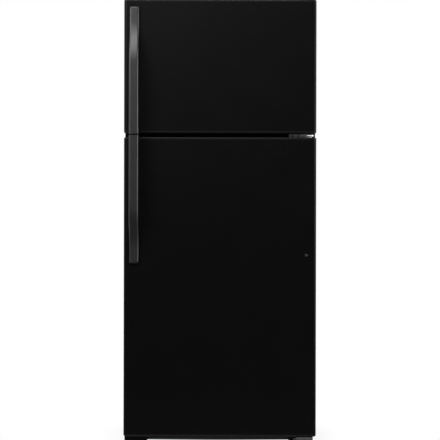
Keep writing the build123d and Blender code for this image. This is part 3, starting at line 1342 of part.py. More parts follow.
with BuildPart() as compressor:
    pot_middle = Plane(origin=(COMPRESSOR_X, MACHINE_Y, POT_LEVEL), x_dir=(1, 0, 0), z_dir=(0, -1, 0))
    shoulder = POT_DOME * (1 - sqrt(1 / 2))
    with BuildSketch(pot_middle):
        with BuildLine():
            Polyline(
                (0, 0),
                (POT_RADIUS - POT_DOME, 0),
                (POT_RADIUS - shoulder, shoulder),
                (POT_RADIUS, POT_DOME),
                (POT_RADIUS, POT_HEIGHT - POT_DOME),
                (POT_RADIUS - shoulder, POT_HEIGHT - shoulder),
                (POT_RADIUS - POT_DOME, POT_HEIGHT),
                (0, POT_HEIGHT),
                close=True,
            )
        make_face()
    revolve(axis=Axis((COMPRESSOR_X, MACHINE_Y, POT_LEVEL), (0, 0, 1)))
    seam_level = POT_LEVEL + (POT_HEIGHT - SEAM_HEIGHT) / 2
    rod((COMPRESSOR_X, MACHINE_Y, seam_level), (0, 0, 1), SEAM_RADIUS, SEAM_HEIGHT)
    with BuildSketch(Plane.XY.offset(FOOT_LEVEL)):
        with Locations((COMPRESSOR_X, MACHINE_Y)):
            RectangleRounded(FOOT_WIDE, FOOT_LONG, FOOT_CORNER)
    extrude(amount=FOOT_SHEET)
    with Locations(
        (COMPRESSOR_X + POT_RADIUS + TERMINAL_BOX[0] / 2 - TERMINAL_SINK, MACHINE_Y, seam_level)
    ):
        Box(*TERMINAL_BOX)
    for stub in (-1, 1):
        stub_x = COMPRESSOR_X + stub * (POT_RADIUS - POT_DOME)
        rod((stub_x, MACHINE_Y, POT_LEVEL + POT_HEIGHT - STUB_RISE), (0, 0, 1), STUB_RADIUS, 2 * STUB_RISE)
finish(compressor, "compressor")

with BuildPart() as compressor_grommets:
    with Locations((COMPRESSOR_X, MACHINE_Y, BASE_PLATE_TOP)):
        with GridLocations(FOOT_WIDE - 2 * GROMMET_INSET, FOOT_LONG - 2 * GROMMET_INSET, 2, 2):
            Cylinder(GROMMET_RADIUS, GROMMET_HEIGHT, align=(Align.CENTER, Align.CENTER, Align.MIN))
finish(compressor_grommets, "compressor_grommets")

# Condenser: a block of finned tubes beside its fan, with the defrost pan on top
FAN_OFFSET = 190.0
CONDENSER_FAN_GAP = 70.0
CONDENSER_EDGE = 65.5
CONDENSER_HEIGHT = 140.0
CONDENSER_FRONT_GAP = 25.0
CONDENSER_LONG = 140.0
CONDENSER_FINS = 7
CONDENSER_COLUMNS = 3
CONDENSER_ROWS = 2
CONDENSER_TUBE_END = 10.0
PAN_HEIGHT = 28.0
PAN_WALL = 2.0
CONDENSER_FRONT = MACHINE_FRONT + CONDENSER_FRONT_GAP
CONDENSER_TOP = BASE_PLATE_TOP + CONDENSER_HEIGHT
FAN_X = COMPRESSOR_X + FAN_OFFSET
CONDENSER_LEFT = FAN_X + CONDENSER_FAN_GAP
CONDENSER_RIGHT = SIDE - CONDENSER_EDGE
CONDENSER_WIDE = CONDENSER_RIGHT - CONDENSER_LEFT

with BuildPart() as condenser:
    fin_pitch = CONDENSER_LONG / (CONDENSER_FINS - 1)
    for fin in range(CONDENSER_FINS):
        fin_y = CONDENSER_FRONT + fin * fin_pitch
        block(
            (CONDENSER_LEFT, fin_y - FIN / 2, BASE_PLATE_TOP),
            (CONDENSER_RIGHT, fin_y + FIN / 2, CONDENSER_TOP),
        )
    for column in range(CONDENSER_COLUMNS):
        tube_x = CONDENSER_LEFT + (column + 0.5) * CONDENSER_WIDE / CONDENSER_COLUMNS
        for row in range(CONDENSER_ROWS):
            tube_z = BASE_PLATE_TOP + (row + 0.5) * CONDENSER_HEIGHT / CONDENSER_ROWS
            prism(
                (tube_x, CONDENSER_FRONT - CONDENSER_TUBE_END, tube_z),
                (0, 1, 0),
                COIL_TUBE,
                TUBE_SIDES,
                CONDENSER_LONG + 2 * CONDENSER_TUBE_END,
            )
finish(condenser, "condenser")

with BuildPart() as drain_pan:
    block(
        (CONDENSER_LEFT, CONDENSER_FRONT, CONDENSER_TOP),
        (CONDENSER_RIGHT, CONDENSER_FRONT + CONDENSER_LONG, CONDENSER_TOP + PAN_HEIGHT),
    )
    fillet(drain_pan.edges().filter_by(Axis.Z), FOOT_CORNER)
    offset(amount=-PAN_WALL, openings=drain_pan.faces().sort_by(Axis.Z)[-1])
finish(drain_pan, "drain_pan")

# Condenser fan: a motor on a bent strip that also carries the shroud
FAN_RISE = 85.0
FAN_TIP = 60.0
FAN_HUB = 14.0
FAN_HUB_LENGTH = 16.0
FAN_BLADE_WIDTH = 26.0
FAN_MOTOR_GAP = 15.0
FAN_MOTOR_RADIUS = 22.0
FAN_MOTOR_LENGTH = 36.0
STRIP_HALF = 26.0
SHROUD_GAP = 20.0
SHROUD_HALF = 74.0
SHROUD_PLAY = 4.0
FAN_CENTER = (FAN_X, MACHINE_Y, BASE_PLATE_TOP + FAN_RISE)
MOTOR_FRONT = FAN_X - FAN_MOTOR_GAP
MOTOR_BACK = MOTOR_FRONT - FAN_MOTOR_LENGTH
SHROUD_X = FAN_X + SHROUD_GAP

with BuildPart() as condenser_fan_motor:
    block(
        (MOTOR_BACK - BASE_SHEET, MACHINE_Y - STRIP_HALF, BASE_PLATE_TOP),
        (SHROUD_X + BASE_SHEET, MACHINE_Y + STRIP_HALF, BASE_PLATE_TOP + BASE_SHEET),
    )
    block(
        (MOTOR_BACK - BASE_SHEET, MACHINE_Y - STRIP_HALF, BASE_PLATE_TOP),
        (MOTOR_BACK, MACHINE_Y + STRIP_HALF, BASE_PLATE_TOP + FAN_RISE + STRIP_HALF),
    )
    with BuildSketch(Plane.YZ.offset(SHROUD_X)):
        with Locations((MACHINE_Y, BASE_PLATE_TOP + FAN_RISE)):
            Rectangle(2 * SHROUD_HALF, 2 * FAN_RISE)
            Circle(FAN_TIP + SHROUD_PLAY, mode=Mode.SUBTRACT)
    extrude(amount=BASE_SHEET)
    motor_start = (MOTOR_BACK, MACHINE_Y, BASE_PLATE_TOP + FAN_RISE)
    rod(motor_start, (1, 0, 0), FAN_MOTOR_RADIUS, FAN_MOTOR_LENGTH)
    rod(
        (MOTOR_FRONT, MACHINE_Y, BASE_PLATE_TOP + FAN_RISE),
        (-1, 0, 0),
        FAN_SHAFT + RUNNING,
        BEARING_DEPTH,
        mode=Mode.SUBTRACT,
    )
finish(condenser_fan_motor, "condenser_fan_motor")
fan_wheel(
    "condenser_fan_blade",
    FAN_CENTER,
    (1, 0, 0),
    FAN_HUB,
    FAN_HUB_LENGTH,
    FAN_TIP,
    FAN_BLADE_WIDTH,
    FAN_MOTOR_GAP + SHAFT_HELD,
)
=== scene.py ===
import math

import bmesh
import bpy
from mathutils import Matrix, Vector


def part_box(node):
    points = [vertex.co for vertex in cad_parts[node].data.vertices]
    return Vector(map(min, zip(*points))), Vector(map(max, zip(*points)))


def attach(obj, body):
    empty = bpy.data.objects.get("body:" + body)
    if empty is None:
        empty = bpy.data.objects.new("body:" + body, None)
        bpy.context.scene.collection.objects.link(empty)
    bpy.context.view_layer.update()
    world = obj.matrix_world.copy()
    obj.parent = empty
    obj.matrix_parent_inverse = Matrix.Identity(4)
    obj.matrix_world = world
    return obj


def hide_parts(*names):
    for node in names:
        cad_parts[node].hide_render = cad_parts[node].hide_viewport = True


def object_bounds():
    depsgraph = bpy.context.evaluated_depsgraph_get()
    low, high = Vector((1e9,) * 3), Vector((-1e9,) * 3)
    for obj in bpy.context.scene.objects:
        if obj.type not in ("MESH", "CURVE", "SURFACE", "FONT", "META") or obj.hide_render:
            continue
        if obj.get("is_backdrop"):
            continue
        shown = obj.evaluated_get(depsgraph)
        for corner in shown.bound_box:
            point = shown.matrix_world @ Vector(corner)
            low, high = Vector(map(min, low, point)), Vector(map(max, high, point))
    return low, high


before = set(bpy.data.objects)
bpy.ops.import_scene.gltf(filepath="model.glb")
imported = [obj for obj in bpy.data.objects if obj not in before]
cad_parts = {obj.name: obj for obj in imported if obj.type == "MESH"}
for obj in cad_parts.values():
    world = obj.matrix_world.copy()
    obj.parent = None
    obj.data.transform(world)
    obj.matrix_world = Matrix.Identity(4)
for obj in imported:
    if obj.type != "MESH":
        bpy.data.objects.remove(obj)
cad_low, cad_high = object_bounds()


# Cabinet case: cold rolled steel sheet, folded into two sides, a top and a rail between the
# doors. It is sprayed with black enamel that dries to a fine pebbled texture.
def new_finish(name, colour, roughness, metallic=0.0, specular=0.5, transmission=0.0, ior=1.5):
    """A material with the plain values of one finish."""
    finish = bpy.data.materials.new(name)
    finish.use_nodes = True
    shader = finish.node_tree.nodes["Principled BSDF"]
    shader.inputs["Base Color"].default_value = (*colour, 1)
    shader.inputs["Roughness"].default_value = roughness
    shader.inputs["Metallic"].default_value = metallic
    shader.inputs["Specular IOR Level"].default_value = specular
    shader.inputs["Transmission Weight"].default_value = transmission
    shader.inputs["IOR"].default_value = ior
    return finish


def noise_pattern(finish, grain, detail=2.0, stretch=(1, 1, 1)):
    """A noise that stays with the piece. Grain is the size of its spots in metres."""
    tree = finish.node_tree
    place = tree.nodes.new("ShaderNodeTexCoord")
    scaled = tree.nodes.new("ShaderNodeMapping")
    scaled.inputs["Scale"].default_value = stretch
    noise = tree.nodes.new("ShaderNodeTexNoise")
    noise.inputs["Scale"].default_value = 1 / grain
    noise.inputs["Detail"].default_value = detail
    tree.links.new(place.outputs["Object"], scaled.inputs["Vector"])
    tree.links.new(scaled.outputs["Vector"], noise.inputs["Vector"])
    return noise.outputs["Fac"]


def tint(finish, pattern, spread):
    """Varies the colour of a finish over a pattern, by a share of it either way."""
    tree = finish.node_tree
    base = tree.nodes["Principled BSDF"].inputs["Base Color"]
    colour = Vector(base.default_value[:3])
    mix = tree.nodes.new("ShaderNodeMix")
    mix.data_type = "RGBA"
    mix.inputs["A"].default_value = (*(colour * (1 - spread)), 1)
    mix.inputs["B"].default_value = (*(colour * (1 + spread)), 1)
    tree.links.new(pattern, mix.inputs["Factor"])
    tree.links.new(mix.outputs["Result"], base)


def gloss(finish, pattern, spread):
    """Varies the roughness of a finish over a pattern, by an amount either way."""
    tree = finish.node_tree
    base = tree.nodes["Principled BSDF"].inputs["Roughness"]
    level = tree.nodes.new("ShaderNodeMapRange")
    level.inputs["To Min"].default_value = base.default_value - spread
    level.inputs["To Max"].default_value = base.default_value + spread
    tree.links.new(pattern, level.inputs["Value"])
    tree.links.new(level.outputs["Result"], base)


def relief(finish, pattern, depth, strength):
    """Raises a surface by a pattern. Depth is in metres."""
    tree = finish.node_tree
    bump = tree.nodes.new("ShaderNodeBump")
    bump.inputs["Distance"].default_value = depth
    bump.inputs["Strength"].default_value = strength
    tree.links.new(pattern, bump.inputs["Height"])
    tree.links.new(bump.outputs["Normal"], tree.nodes["Principled BSDF"].inputs["Normal"])


def dress(finish, *names):
    """Gives CAD nodes their finish."""
    for name in names:
        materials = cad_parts[name].data.materials
        materials.clear()
        materials.append(finish)


enamel = new_finish("black_enamel", (0.00145, 0.00145, 0.00155), roughness=0.485, specular=0.1)
tint(enamel, noise_pattern(enamel, grain=0.05, detail=4.0), spread=0.17)
gloss(enamel, noise_pattern(enamel, grain=0.12, detail=3.0), spread=0.065)
relief(enamel, noise_pattern(enamel, grain=0.0016), depth=0.00012, strength=0.6)
dress(enamel, "side_panel_left", "side_panel_right", "top_panel", "center_rail")


# Back: a galvanised sheet with flat zinc flakes over the insulation. The vented cover below it
# is pressed from dark coated sheet and held by two rows of hexagonal sheet screws.
def cell_pattern(finish, grain, output):
    """A pattern of small cells, such as pores or zinc flakes, of a size in metres."""
    tree = finish.node_tree
    place = tree.nodes.new("ShaderNodeTexCoord")
    cells = tree.nodes.new("ShaderNodeTexVoronoi")
    cells.inputs["Scale"].default_value = 1 / grain
    tree.links.new(place.outputs["Object"], cells.inputs["Vector"])
    return cells.outputs[output]


zinc_sheet = new_finish("galvanised_sheet", (0.43, 0.44, 0.45), roughness=0.42, metallic=0.85)
flakes = cell_pattern(zinc_sheet, grain=0.008, output="Color")
tint(zinc_sheet, flakes, spread=0.16)
gloss(zinc_sheet, flakes, spread=0.08)
relief(zinc_sheet, noise_pattern(zinc_sheet, grain=0.15), depth=0.0012, strength=0.35)
dress(zinc_sheet, "back_panel", "compressor_bulkhead")

coated_sheet = new_finish("coated_sheet", (0.051, 0.051, 0.053), roughness=0.49, specular=0.4)
coat_cloud = noise_pattern(coated_sheet, grain=0.06, detail=4.0)
tint(coated_sheet, coat_cloud, spread=0.175)
gloss(coated_sheet, coat_cloud, spread=0.09)
relief(coated_sheet, noise_pattern(coated_sheet, grain=0.0016), depth=0.00012, strength=0.6)
dress(coated_sheet, "rear_cover")

SHARP_ANGLE = 40
WASHER_RADIUS = 0.0055
WASHER_SIDES = 24
HEX_SIDES = 6
BACKWARDS = (0, 1, 0)
COVER_SCREW_ROWS = 2
COVER_SCREW_COLUMNS = 5
COVER_SCREW_INSET = 0.009
COVER_SCREW_HEAD = 0.004
COVER_SCREW_HEIGHT = 0.002


def new_piece(name, mesh, finish, body):
    """A finished mesh as a piece that moves with a body of the frame."""
    data = bpy.data.meshes.new(name)
    mesh.to_mesh(data)
    mesh.free()
    data.shade_smooth()
    data.set_sharp_from_angle(angle=math.radians(SHARP_ANGLE))
    data.materials.append(finish)
    piece = bpy.data.objects.new(name, data)
    bpy.context.scene.collection.objects.link(piece)
    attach(piece, body)
    return piece


def soften(mesh, edges, radius, steps):
    """Rounds some edges of a mesh by a radius."""
    bmesh.ops.bevel(
        mesh,
        geom=edges,
        offset=radius,
        affect="EDGES",
        segments=steps,
        profile=0.5,
        material=-1,
    )


def add_rod(mesh, start, end, radius, sides):
    """A straight bar between two points, and the edges that it adds to a mesh."""
    along = Vector(end) - Vector(start)
    middle = (Vector(start) + Vector(end)) / 2
    rod = bmesh.ops.create_cone(
        mesh,
        cap_ends=True,
        segments=sides,
        radius1=radius,
        radius2=radius,
        depth=along.length,
        matrix=Matrix.Translation(middle) @ along.to_track_quat("Z", "Y").to_matrix().to_4x4(),
    )
    return list(dict.fromkeys(edge for vert in rod["verts"] for edge in vert.link_edges))


def add_screw(mesh, place, way, head, height):
    """A hexagonal screw head with a washer under it, standing on a place along a way."""
    flange = height / 3
    for radius, rise, sides in ((WASHER_RADIUS, flange, WASHER_SIDES), (head, height, HEX_SIDES)):
        rims = add_rod(mesh, place, Vector(place) + rise * Vector(way), radius, sides)
        soften(mesh, rims, radius=flange / 3, steps=2)


def spaced(low, high, inset, count):
    """A count of even places between two ends, the outer ones at an inset from them."""
    step = (high - low - 2 * inset) / (count - 1)
    return [low + inset + number * step for number in range(count)]


screw_zinc = new_finish("screw_zinc", (0.44, 0.44, 0.425), roughness=0.365, metallic=0.9)
screw_spots = noise_pattern(screw_zinc, grain=0.004, detail=3.0)
tint(screw_zinc, screw_spots, spread=0.18)
gloss(screw_zinc, screw_spots, spread=0.085)

cover_low, cover_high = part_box("rear_cover")
cover_screws = bmesh.new()
for level in spaced(cover_low.z, cover_high.z, COVER_SCREW_INSET, COVER_SCREW_ROWS):
    for across in spaced(cover_low.x, cover_high.x, COVER_SCREW_INSET, COVER_SCREW_COLUMNS):
        spot = (across, cover_high.y, level)
        add_screw(cover_screws, spot, BACKWARDS, COVER_SCREW_HEAD, COVER_SCREW_HEIGHT)
new_piece("rear_cover_screws", cover_screws, screw_zinc, "cabinet")

# Liners and inner fittings: white polystyrene, vacuum formed or moulded, with a soft shine
# and the slight waviness of a formed sheet.
white = new_finish("white_polystyrene", (0.78, 0.7875, 0.7825), roughness=0.36)
tint(white, noise_pattern(white, grain=0.2, detail=3.0), spread=0.037)
gloss(white, noise_pattern(white, grain=0.05, detail=3.0), spread=0.06)
relief(white, noise_pattern(white, grain=0.03), depth=0.0003, strength=0.3)
dress(white, "freezer_liner", "fridge_liner", "freezer_door_liner", "fridge_door_liner")
dress(white, "evaporator_cover", "control_housing", "light_switch", "light_switch_button")
dress(white, "shelf_frames", "dairy_bin")

# Insulation: rigid polyurethane foam, poured into the walls and the doors, where it swells and
# sets. It has small pores where it shows at an edge, their pits painted darker as painted shade.
foam = new_finish("rigid_foam", (0.68, 0.585, 0.36), roughness=0.9, specular=0.2)
pores_and_pit_shade = cell_pattern(foam, grain=0.0025, output="Distance")
# The tint darkens the pits of the pores: painted shade.
tint(foam, pores_and_pit_shade, spread=0.15)
relief(foam, pores_and_pit_shade, depth=0.0005, strength=0.6)
dress(foam, "cabinet_foam", "freezer_door_foam", "fridge_door_foam")

# Cooling machinery: a steel compressor pot on rubber grommets, a finned coil and the frame that
# carries them, all dipped in black enamel. The freezer's coil is bare aluminium, and both fans
# are grey mouldings on motors in zinc cans.
machine = new_finish("machine_enamel", (0.012, 0.012, 0.012), roughness=0.38)
gloss(machine, noise_pattern(machine, grain=0.03, detail=3.0), spread=0.08)
relief(machine, noise_pattern(machine, grain=0.004, detail=3.0), depth=0.0002, strength=0.5)
dress(machine, "compressor", "condenser", "base_frame")

aluminium = new_finish("mill_aluminium", (0.69, 0.7, 0.71), roughness=0.365, metallic=1.0)
drawn_lines = noise_pattern(aluminium, grain=0.002, stretch=(0.05, 1, 1))
tint(aluminium, drawn_lines, spread=0.1)
gloss(aluminium, drawn_lines, spread=0.085)
dress(aluminium, "evaporator")
dress(zinc_sheet, "condenser_fan_motor", "evaporator_fan_motor")

grey = new_finish("grey_moulding", (0.3, 0.31, 0.32), roughness=0.45)
tint(grey, noise_pattern(grey, grain=0.02, detail=3.0), spread=0.1)
relief(grey, noise_pattern(grey, grain=0.0008), depth=0.00008, strength=0.5)
dress(grey, "condenser_fan_blade", "evaporator_fan_blade")

rubber = new_finish("grommet_rubber", (0.03, 0.03, 0.03), roughness=0.8, specular=0.3)
relief(rubber, noise_pattern(rubber, grain=0.0015, detail=3.0), depth=0.0002, strength=0.6)
dress(rubber, "compressor_grommets")

# Base: a grille, a drain pan and rollers, moulded in hard black plastic. The feet, which screw
# into the frame, and the axles are turned steel, plated with zinc.
black_plastic = new_finish(
    "black_moulding", (0.00205, 0.00205, 0.00215), roughness=0.5, specular=0.1
)
tint(black_plastic, noise_pattern(black_plastic, grain=0.03, detail=3.0), spread=0.215)
gloss(black_plastic, noise_pattern(black_plastic, grain=0.04), spread=0.08)
relief(black_plastic, noise_pattern(black_plastic, grain=0.0009), depth=0.00008, strength=0.5)
dress(black_plastic, "base_grille", "drain_pan", "rear_roller_left", "rear_roller_right")

plated = new_finish("zinc_plate", (0.41, 0.41, 0.4), roughness=0.375, metallic=0.9)
turned_lines = noise_pattern(plated, grain=0.0015, detail=3.0, stretch=(1, 1, 0.1))
tint(plated, turned_lines, spread=0.17)
gloss(plated, turned_lines, spread=0.075)
dress(plated, "leveling_foot_left", "leveling_foot_right", "roller_axles")

# Hinges: pressed from thick steel, plated with zinc. The upper two are bright zinc, and the
# lowest is the same zinc painted darker, as painted shade for the shade by the floor. A black
# moulded cover snaps over the top one.
bright_zinc = new_finish("bright_zinc", (0.7, 0.7, 0.68), roughness=0.42, metallic=0.3)
zinc_cloud = noise_pattern(bright_zinc, grain=0.004, detail=3.0)
tint(bright_zinc, zinc_cloud, spread=0.115)
gloss(bright_zinc, zinc_cloud, spread=0.08)
dress(bright_zinc, "top_hinge", "center_hinge")

# The lowest hinge's zinc, painted darker than the upper two: painted shade.
painted_shade_zinc = new_finish("painted_shade_zinc", (0.07, 0.07, 0.0685), roughness=0.51, metallic=0.4)
shaded_zinc_cloud = noise_pattern(painted_shade_zinc, grain=0.004, detail=3.0)
tint(painted_shade_zinc, shaded_zinc_cloud, spread=0.21)
gloss(painted_shade_zinc, shaded_zinc_cloud, spread=0.09)
dress(painted_shade_zinc, "bottom_hinge")
dress(black_plastic, "top_hinge_cover")

# Hinge screws: zinc plated steel, with hexagonal heads and washers. Three hold the top hinge,
# under its cover, and two hold each of the others.
UPWARDS = (0, 0, 1)
FORWARDS = (0, -1, 0)
HINGE_SCREW_HEAD = 0.0044
HINGE_SCREW_HEIGHT = 0.0035
TOP_SCREW_OFFSETS = ((-0.014, -0.015), (-0.014, -0.045), (0.007, -0.015))
CENTER_SCREW_OFFSETS = (0.014, 0.035)
BOTTOM_SCREW_OFFSETS = (0.013, 0.048)
BOTTOM_SCREW_RISE = 0.007
HINGE_EDGE = 0.0225
HINGE_FLANGE = 0.003
top_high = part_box("top_hinge")[1]
center_low, center_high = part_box("center_hinge")
bottom_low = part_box("bottom_hinge")[0]
hinge_x = cad_high.x - HINGE_EDGE
flange_face = center_high.y - HINGE_FLANGE
center_level = (center_low.z + center_high.z) / 2
bottom_level = bottom_low.z + BOTTOM_SCREW_RISE
hinge_screws = bmesh.new()
for across, back in TOP_SCREW_OFFSETS:
    spot = (hinge_x + across, top_high.y + back, top_high.z)
    add_screw(hinge_screws, spot, UPWARDS, HINGE_SCREW_HEAD, HINGE_SCREW_HEIGHT)
for across in CENTER_SCREW_OFFSETS:
    spot = (center_low.x + across, flange_face, center_level)
    add_screw(hinge_screws, spot, FORWARDS, HINGE_SCREW_HEAD, HINGE_SCREW_HEIGHT)
for across in BOTTOM_SCREW_OFFSETS:
    spot = (bottom_low.x + across, flange_face, bottom_level)
    add_screw(hinge_screws, spot, FORWARDS, HINGE_SCREW_HEAD, HINGE_SCREW_HEIGHT)
screws = new_piece("hinge_screw_heads", hinge_screws, screw_zinc, "cabinet")
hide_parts("hinge_screws")

# Door skins: deep drawn pans of the same enamelled steel as the case. Moulded black caps, a
# little glossier than the steel, snap into their ends.
dress(enamel, "freezer_door_skin", "fridge_door_skin")
cap_plastic = new_finish("cap_moulding", (0.003, 0.003, 0.0031), roughness=0.51, specular=0.22)
cap_cloud = noise_pattern(cap_plastic, grain=0.03, detail=3.0)
tint(cap_plastic, cap_cloud, spread=0.165)
gloss(cap_plastic, cap_cloud, spread=0.06)
relief(cap_plastic, noise_pattern(cap_plastic, grain=0.0009), depth=0.00006, strength=0.5)
dress(cap_plastic, "freezer_door_caps", "fridge_door_caps")

# Folded door edges: the rim of each steel skin is turned over the border of the inner panel,
# which it clamps and hides from the panel's edge to the foot of the seal.
FOLD_CLEAR = 0.0006
FOLD_SHEET = 0.0004
FOLD_BEND = 0.0005
FOLD_TUCK = 0.0008
for door in ("freezer_door", "fridge_door"):
    panel_low, panel_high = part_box(f"{door}_liner")
    seal_low, seal_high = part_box(f"{door}_gasket")
    middle = (panel_low + panel_high) / 2
    middle.y = seal_low.y + FOLD_CLEAR
    wide = panel_high.x - panel_low.x + 2 * FOLD_CLEAR
    tall = panel_high.z - panel_low.z + 2 * FOLD_CLEAR
    fold = bmesh.new()
    bmesh.ops.create_grid(
        fold,
        x_segments=1,
        y_segments=1,
        size=0.5,
        matrix=Matrix.Translation(middle)
        @ Matrix.Rotation(math.radians(90), 4, "X")
        @ Matrix.Diagonal((wide, tall, 1, 1)),
    )
    inner = fold.faces[:]
    bmesh.ops.inset_region(fold, faces=inner, thickness=FOLD_TUCK, use_boundary=True)
    opening = inner[0].verts[:]
    reach_x = (seal_high.x - seal_low.x - 2 * FOLD_TUCK) / (wide - 2 * FOLD_TUCK)
    reach_z = (seal_high.z - seal_low.z - 2 * FOLD_TUCK) / (tall - 2 * FOLD_TUCK)
    around = Matrix.Translation(-middle)
    bmesh.ops.scale(fold, vec=(reach_x, 1, reach_z), space=around, verts=opening)
    bmesh.ops.delete(fold, geom=inner, context="FACES_ONLY")
    rim_edges = [edge for edge in fold.edges if not any(vert in opening for vert in edge.verts)]
    turned = bmesh.ops.extrude_edge_only(fold, edges=rim_edges)["geom"]
    edge_verts = [item for item in turned if isinstance(item, bmesh.types.BMVert)]
    bmesh.ops.translate(fold, vec=(0, panel_low.y - middle.y, 0), verts=edge_verts)
    soften(fold, rim_edges, radius=FOLD_BEND, steps=3)
    bmesh.ops.recalc_face_normals(fold, faces=fold.faces)
    bmesh.ops.solidify(fold, geom=fold.faces[:], thickness=FOLD_SHEET)
    new_piece(f"{door}_fold", fold, enamel, door)

# Handles: moulded bars in satin charcoal, with a soft sheen along their rounded edges. The
# plug in the spare screw hole is the same plastic.
charcoal = new_finish("charcoal_satin", (0.00505, 0.00505, 0.00535), roughness=0.47, specular=0.8)
tint(charcoal, noise_pattern(charcoal, grain=0.03, detail=3.0), spread=0.145)
gloss(charcoal, noise_pattern(charcoal, grain=0.006, detail=3.0), spread=0.05)
relief(charcoal, noise_pattern(charcoal, grain=0.0006), depth=0.00004, strength=0.5)
dress(charcoal, "freezer_door_handle", "fridge_door_handle", "hole_plug")

# Door seals: soft black extrusions, welded at the mitred corners, with a bellows between the
# base that grips the panel and the flat pocket that holds the magnet.
seal_rubber = new_finish("seal_vinyl", (0.021, 0.021, 0.022), roughness=0.6, specular=0.3)
tint(seal_rubber, noise_pattern(seal_rubber, grain=0.02, detail=3.0), spread=0.235)
gloss(seal_rubber, noise_pattern(seal_rubber, grain=0.01), spread=0.1)
relief(seal_rubber, noise_pattern(seal_rubber, grain=0.0012), depth=0.00008, strength=0.5)

MIRROR_ACROSS = (-1, 1, 1)
MIRROR_DOWN = (1, 1, -1)
SEAL_WIDTH = 0.018
SEAL_SOFTNESS = 0.0005
SEAL_PROFILE = (
    (0.001, 0.0),
    (0.0, 0.0012),
    (0.0028, 0.0034),
    (0.0006, 0.0052),
    (0.0004, 0.0092),
    (0.0176, 0.0092),
    (0.0174, 0.0052),
    (0.0152, 0.0034),
    (SEAL_WIDTH, 0.0012),
    (0.017, 0.0),
)
for door in ("freezer_door", "fridge_door"):
    low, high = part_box(f"{door}_gasket")
    middle = (low + high) / 2
    seal = bmesh.new()
    ring = [seal.verts.new((high.x - u, low.y + v, high.z - u)) for u, v in SEAL_PROFILE]
    first_loop = [seal.edges.new(pair) for pair in zip(ring, ring[1:] + ring[:1])]
    loop = first_loop
    around = Matrix.Translation(-middle)
    for mirror in (MIRROR_ACROSS, MIRROR_DOWN, MIRROR_ACROSS):
        grown = bmesh.ops.extrude_edge_only(seal, edges=loop)["geom"]
        corner = [item for item in grown if isinstance(item, bmesh.types.BMVert)]
        new_edges = [item for item in grown if isinstance(item, bmesh.types.BMEdge)]
        loop = [edge for edge in new_edges if all(vert in corner for vert in edge.verts)]
        bmesh.ops.scale(seal, vec=mirror, space=around, verts=corner)
    bmesh.ops.bridge_loops(seal, edges=first_loop + loop)
    bmesh.ops.recalc_face_normals(seal, faces=seal.faces)
    long_edges = [edge for edge in seal.edges if edge.calc_length() > SEAL_WIDTH]
    soften(seal, long_edges, radius=SEAL_SOFTNESS, steps=2)
    piece = new_piece(f"{door}_seal", seal, seal_rubber, door)
    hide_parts(f"{door}_gasket")

# Bins, drawers, lid and lens: clear styrene with a faint cool tint, injection moulded in thin
# walls that wave a little. The bins hang on the door panels, and the drawers slide on glides.
clear = new_finish(
    "clear_styrene", (0.9, 0.94, 0.95), roughness=0.095, transmission=0.85, ior=1.3
)
gloss(clear, noise_pattern(clear, grain=0.03, detail=3.0), spread=0.045)
relief(clear, noise_pattern(clear, grain=0.04), depth=0.0003, strength=0.3)
dress(clear, "freezer_door_bins", "fridge_door_bins", "dairy_lid", "light_lens")
dress(clear, "crisper_left", "crisper_right")

# Shelf panes: float glass, cut, ground and tempered, which looks green through its edge. Each
# pane is held in a white moulded frame.
glass = new_finish("shelf_glass", (0.86, 0.95, 0.92), roughness=0.03, transmission=1.0, ior=1.45)
gloss(glass, noise_pattern(glass, grain=0.05, detail=3.0), spread=0.02)
dress(glass, "shelf_glass")

# Freezer shelf: steel wires welded across three thicker bars, then dipped in white epoxy that
# rounds off their cut ends.
epoxy = new_finish("epoxy_wire", (0.8, 0.8, 0.79), roughness=0.35)
gloss(epoxy, noise_pattern(epoxy, grain=0.006, detail=3.0), spread=0.07)
relief(epoxy, noise_pattern(epoxy, grain=0.003), depth=0.0002, strength=0.4)

WIRE_COUNT = 23
WIRE_RADIUS = 0.00175
WIRE_INSET = 0.012
WIRE_SIDES = 16
BAR_COUNT = 3
BAR_RADIUS = 0.003


def add_wire(mesh, start, end, radius):
    """A straight round wire with softened ends."""
    edges = add_rod(mesh, start, end, radius, WIRE_SIDES)
    rims = [edge for edge in edges if edge.calc_length() < radius]
    soften(mesh, rims, radius=radius / 2, steps=3)


shelf_low, shelf_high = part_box("freezer_shelf")
bar_level = shelf_low.z + BAR_RADIUS
wire_level = shelf_high.z - WIRE_RADIUS
shelf_mesh = bmesh.new()
for back in spaced(shelf_low.y, shelf_high.y, WIRE_INSET, BAR_COUNT):
    left_end = (shelf_low.x, back, bar_level)
    right_end = (shelf_high.x, back, bar_level)
    add_wire(shelf_mesh, left_end, right_end, BAR_RADIUS)
for across in spaced(shelf_low.x, shelf_high.x, WIRE_INSET, WIRE_COUNT):
    front_end = (across, shelf_low.y, wire_level)
    back_end = (across, shelf_high.y, wire_level)
    add_wire(shelf_mesh, front_end, back_end, WIRE_RADIUS)
wires = new_piece("freezer_shelf_wires", shelf_mesh, epoxy, "cabinet")
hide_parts("freezer_shelf")

# Temperature dials: grey moulded grips, each with a white pointer let into it. Round each one,
# the housing has an arc of printed dots that grow from warm to cold.
dress(grey, "fridge_control_knob", "freezer_control_knob")
print_grey = new_finish("printed_grey", (0.12, 0.13, 0.15), roughness=0.6)
gloss(print_grey, noise_pattern(print_grey, grain=0.002), spread=0.1)
relief(print_grey, noise_pattern(print_grey, grain=0.0005), depth=0.00002, strength=0.5)

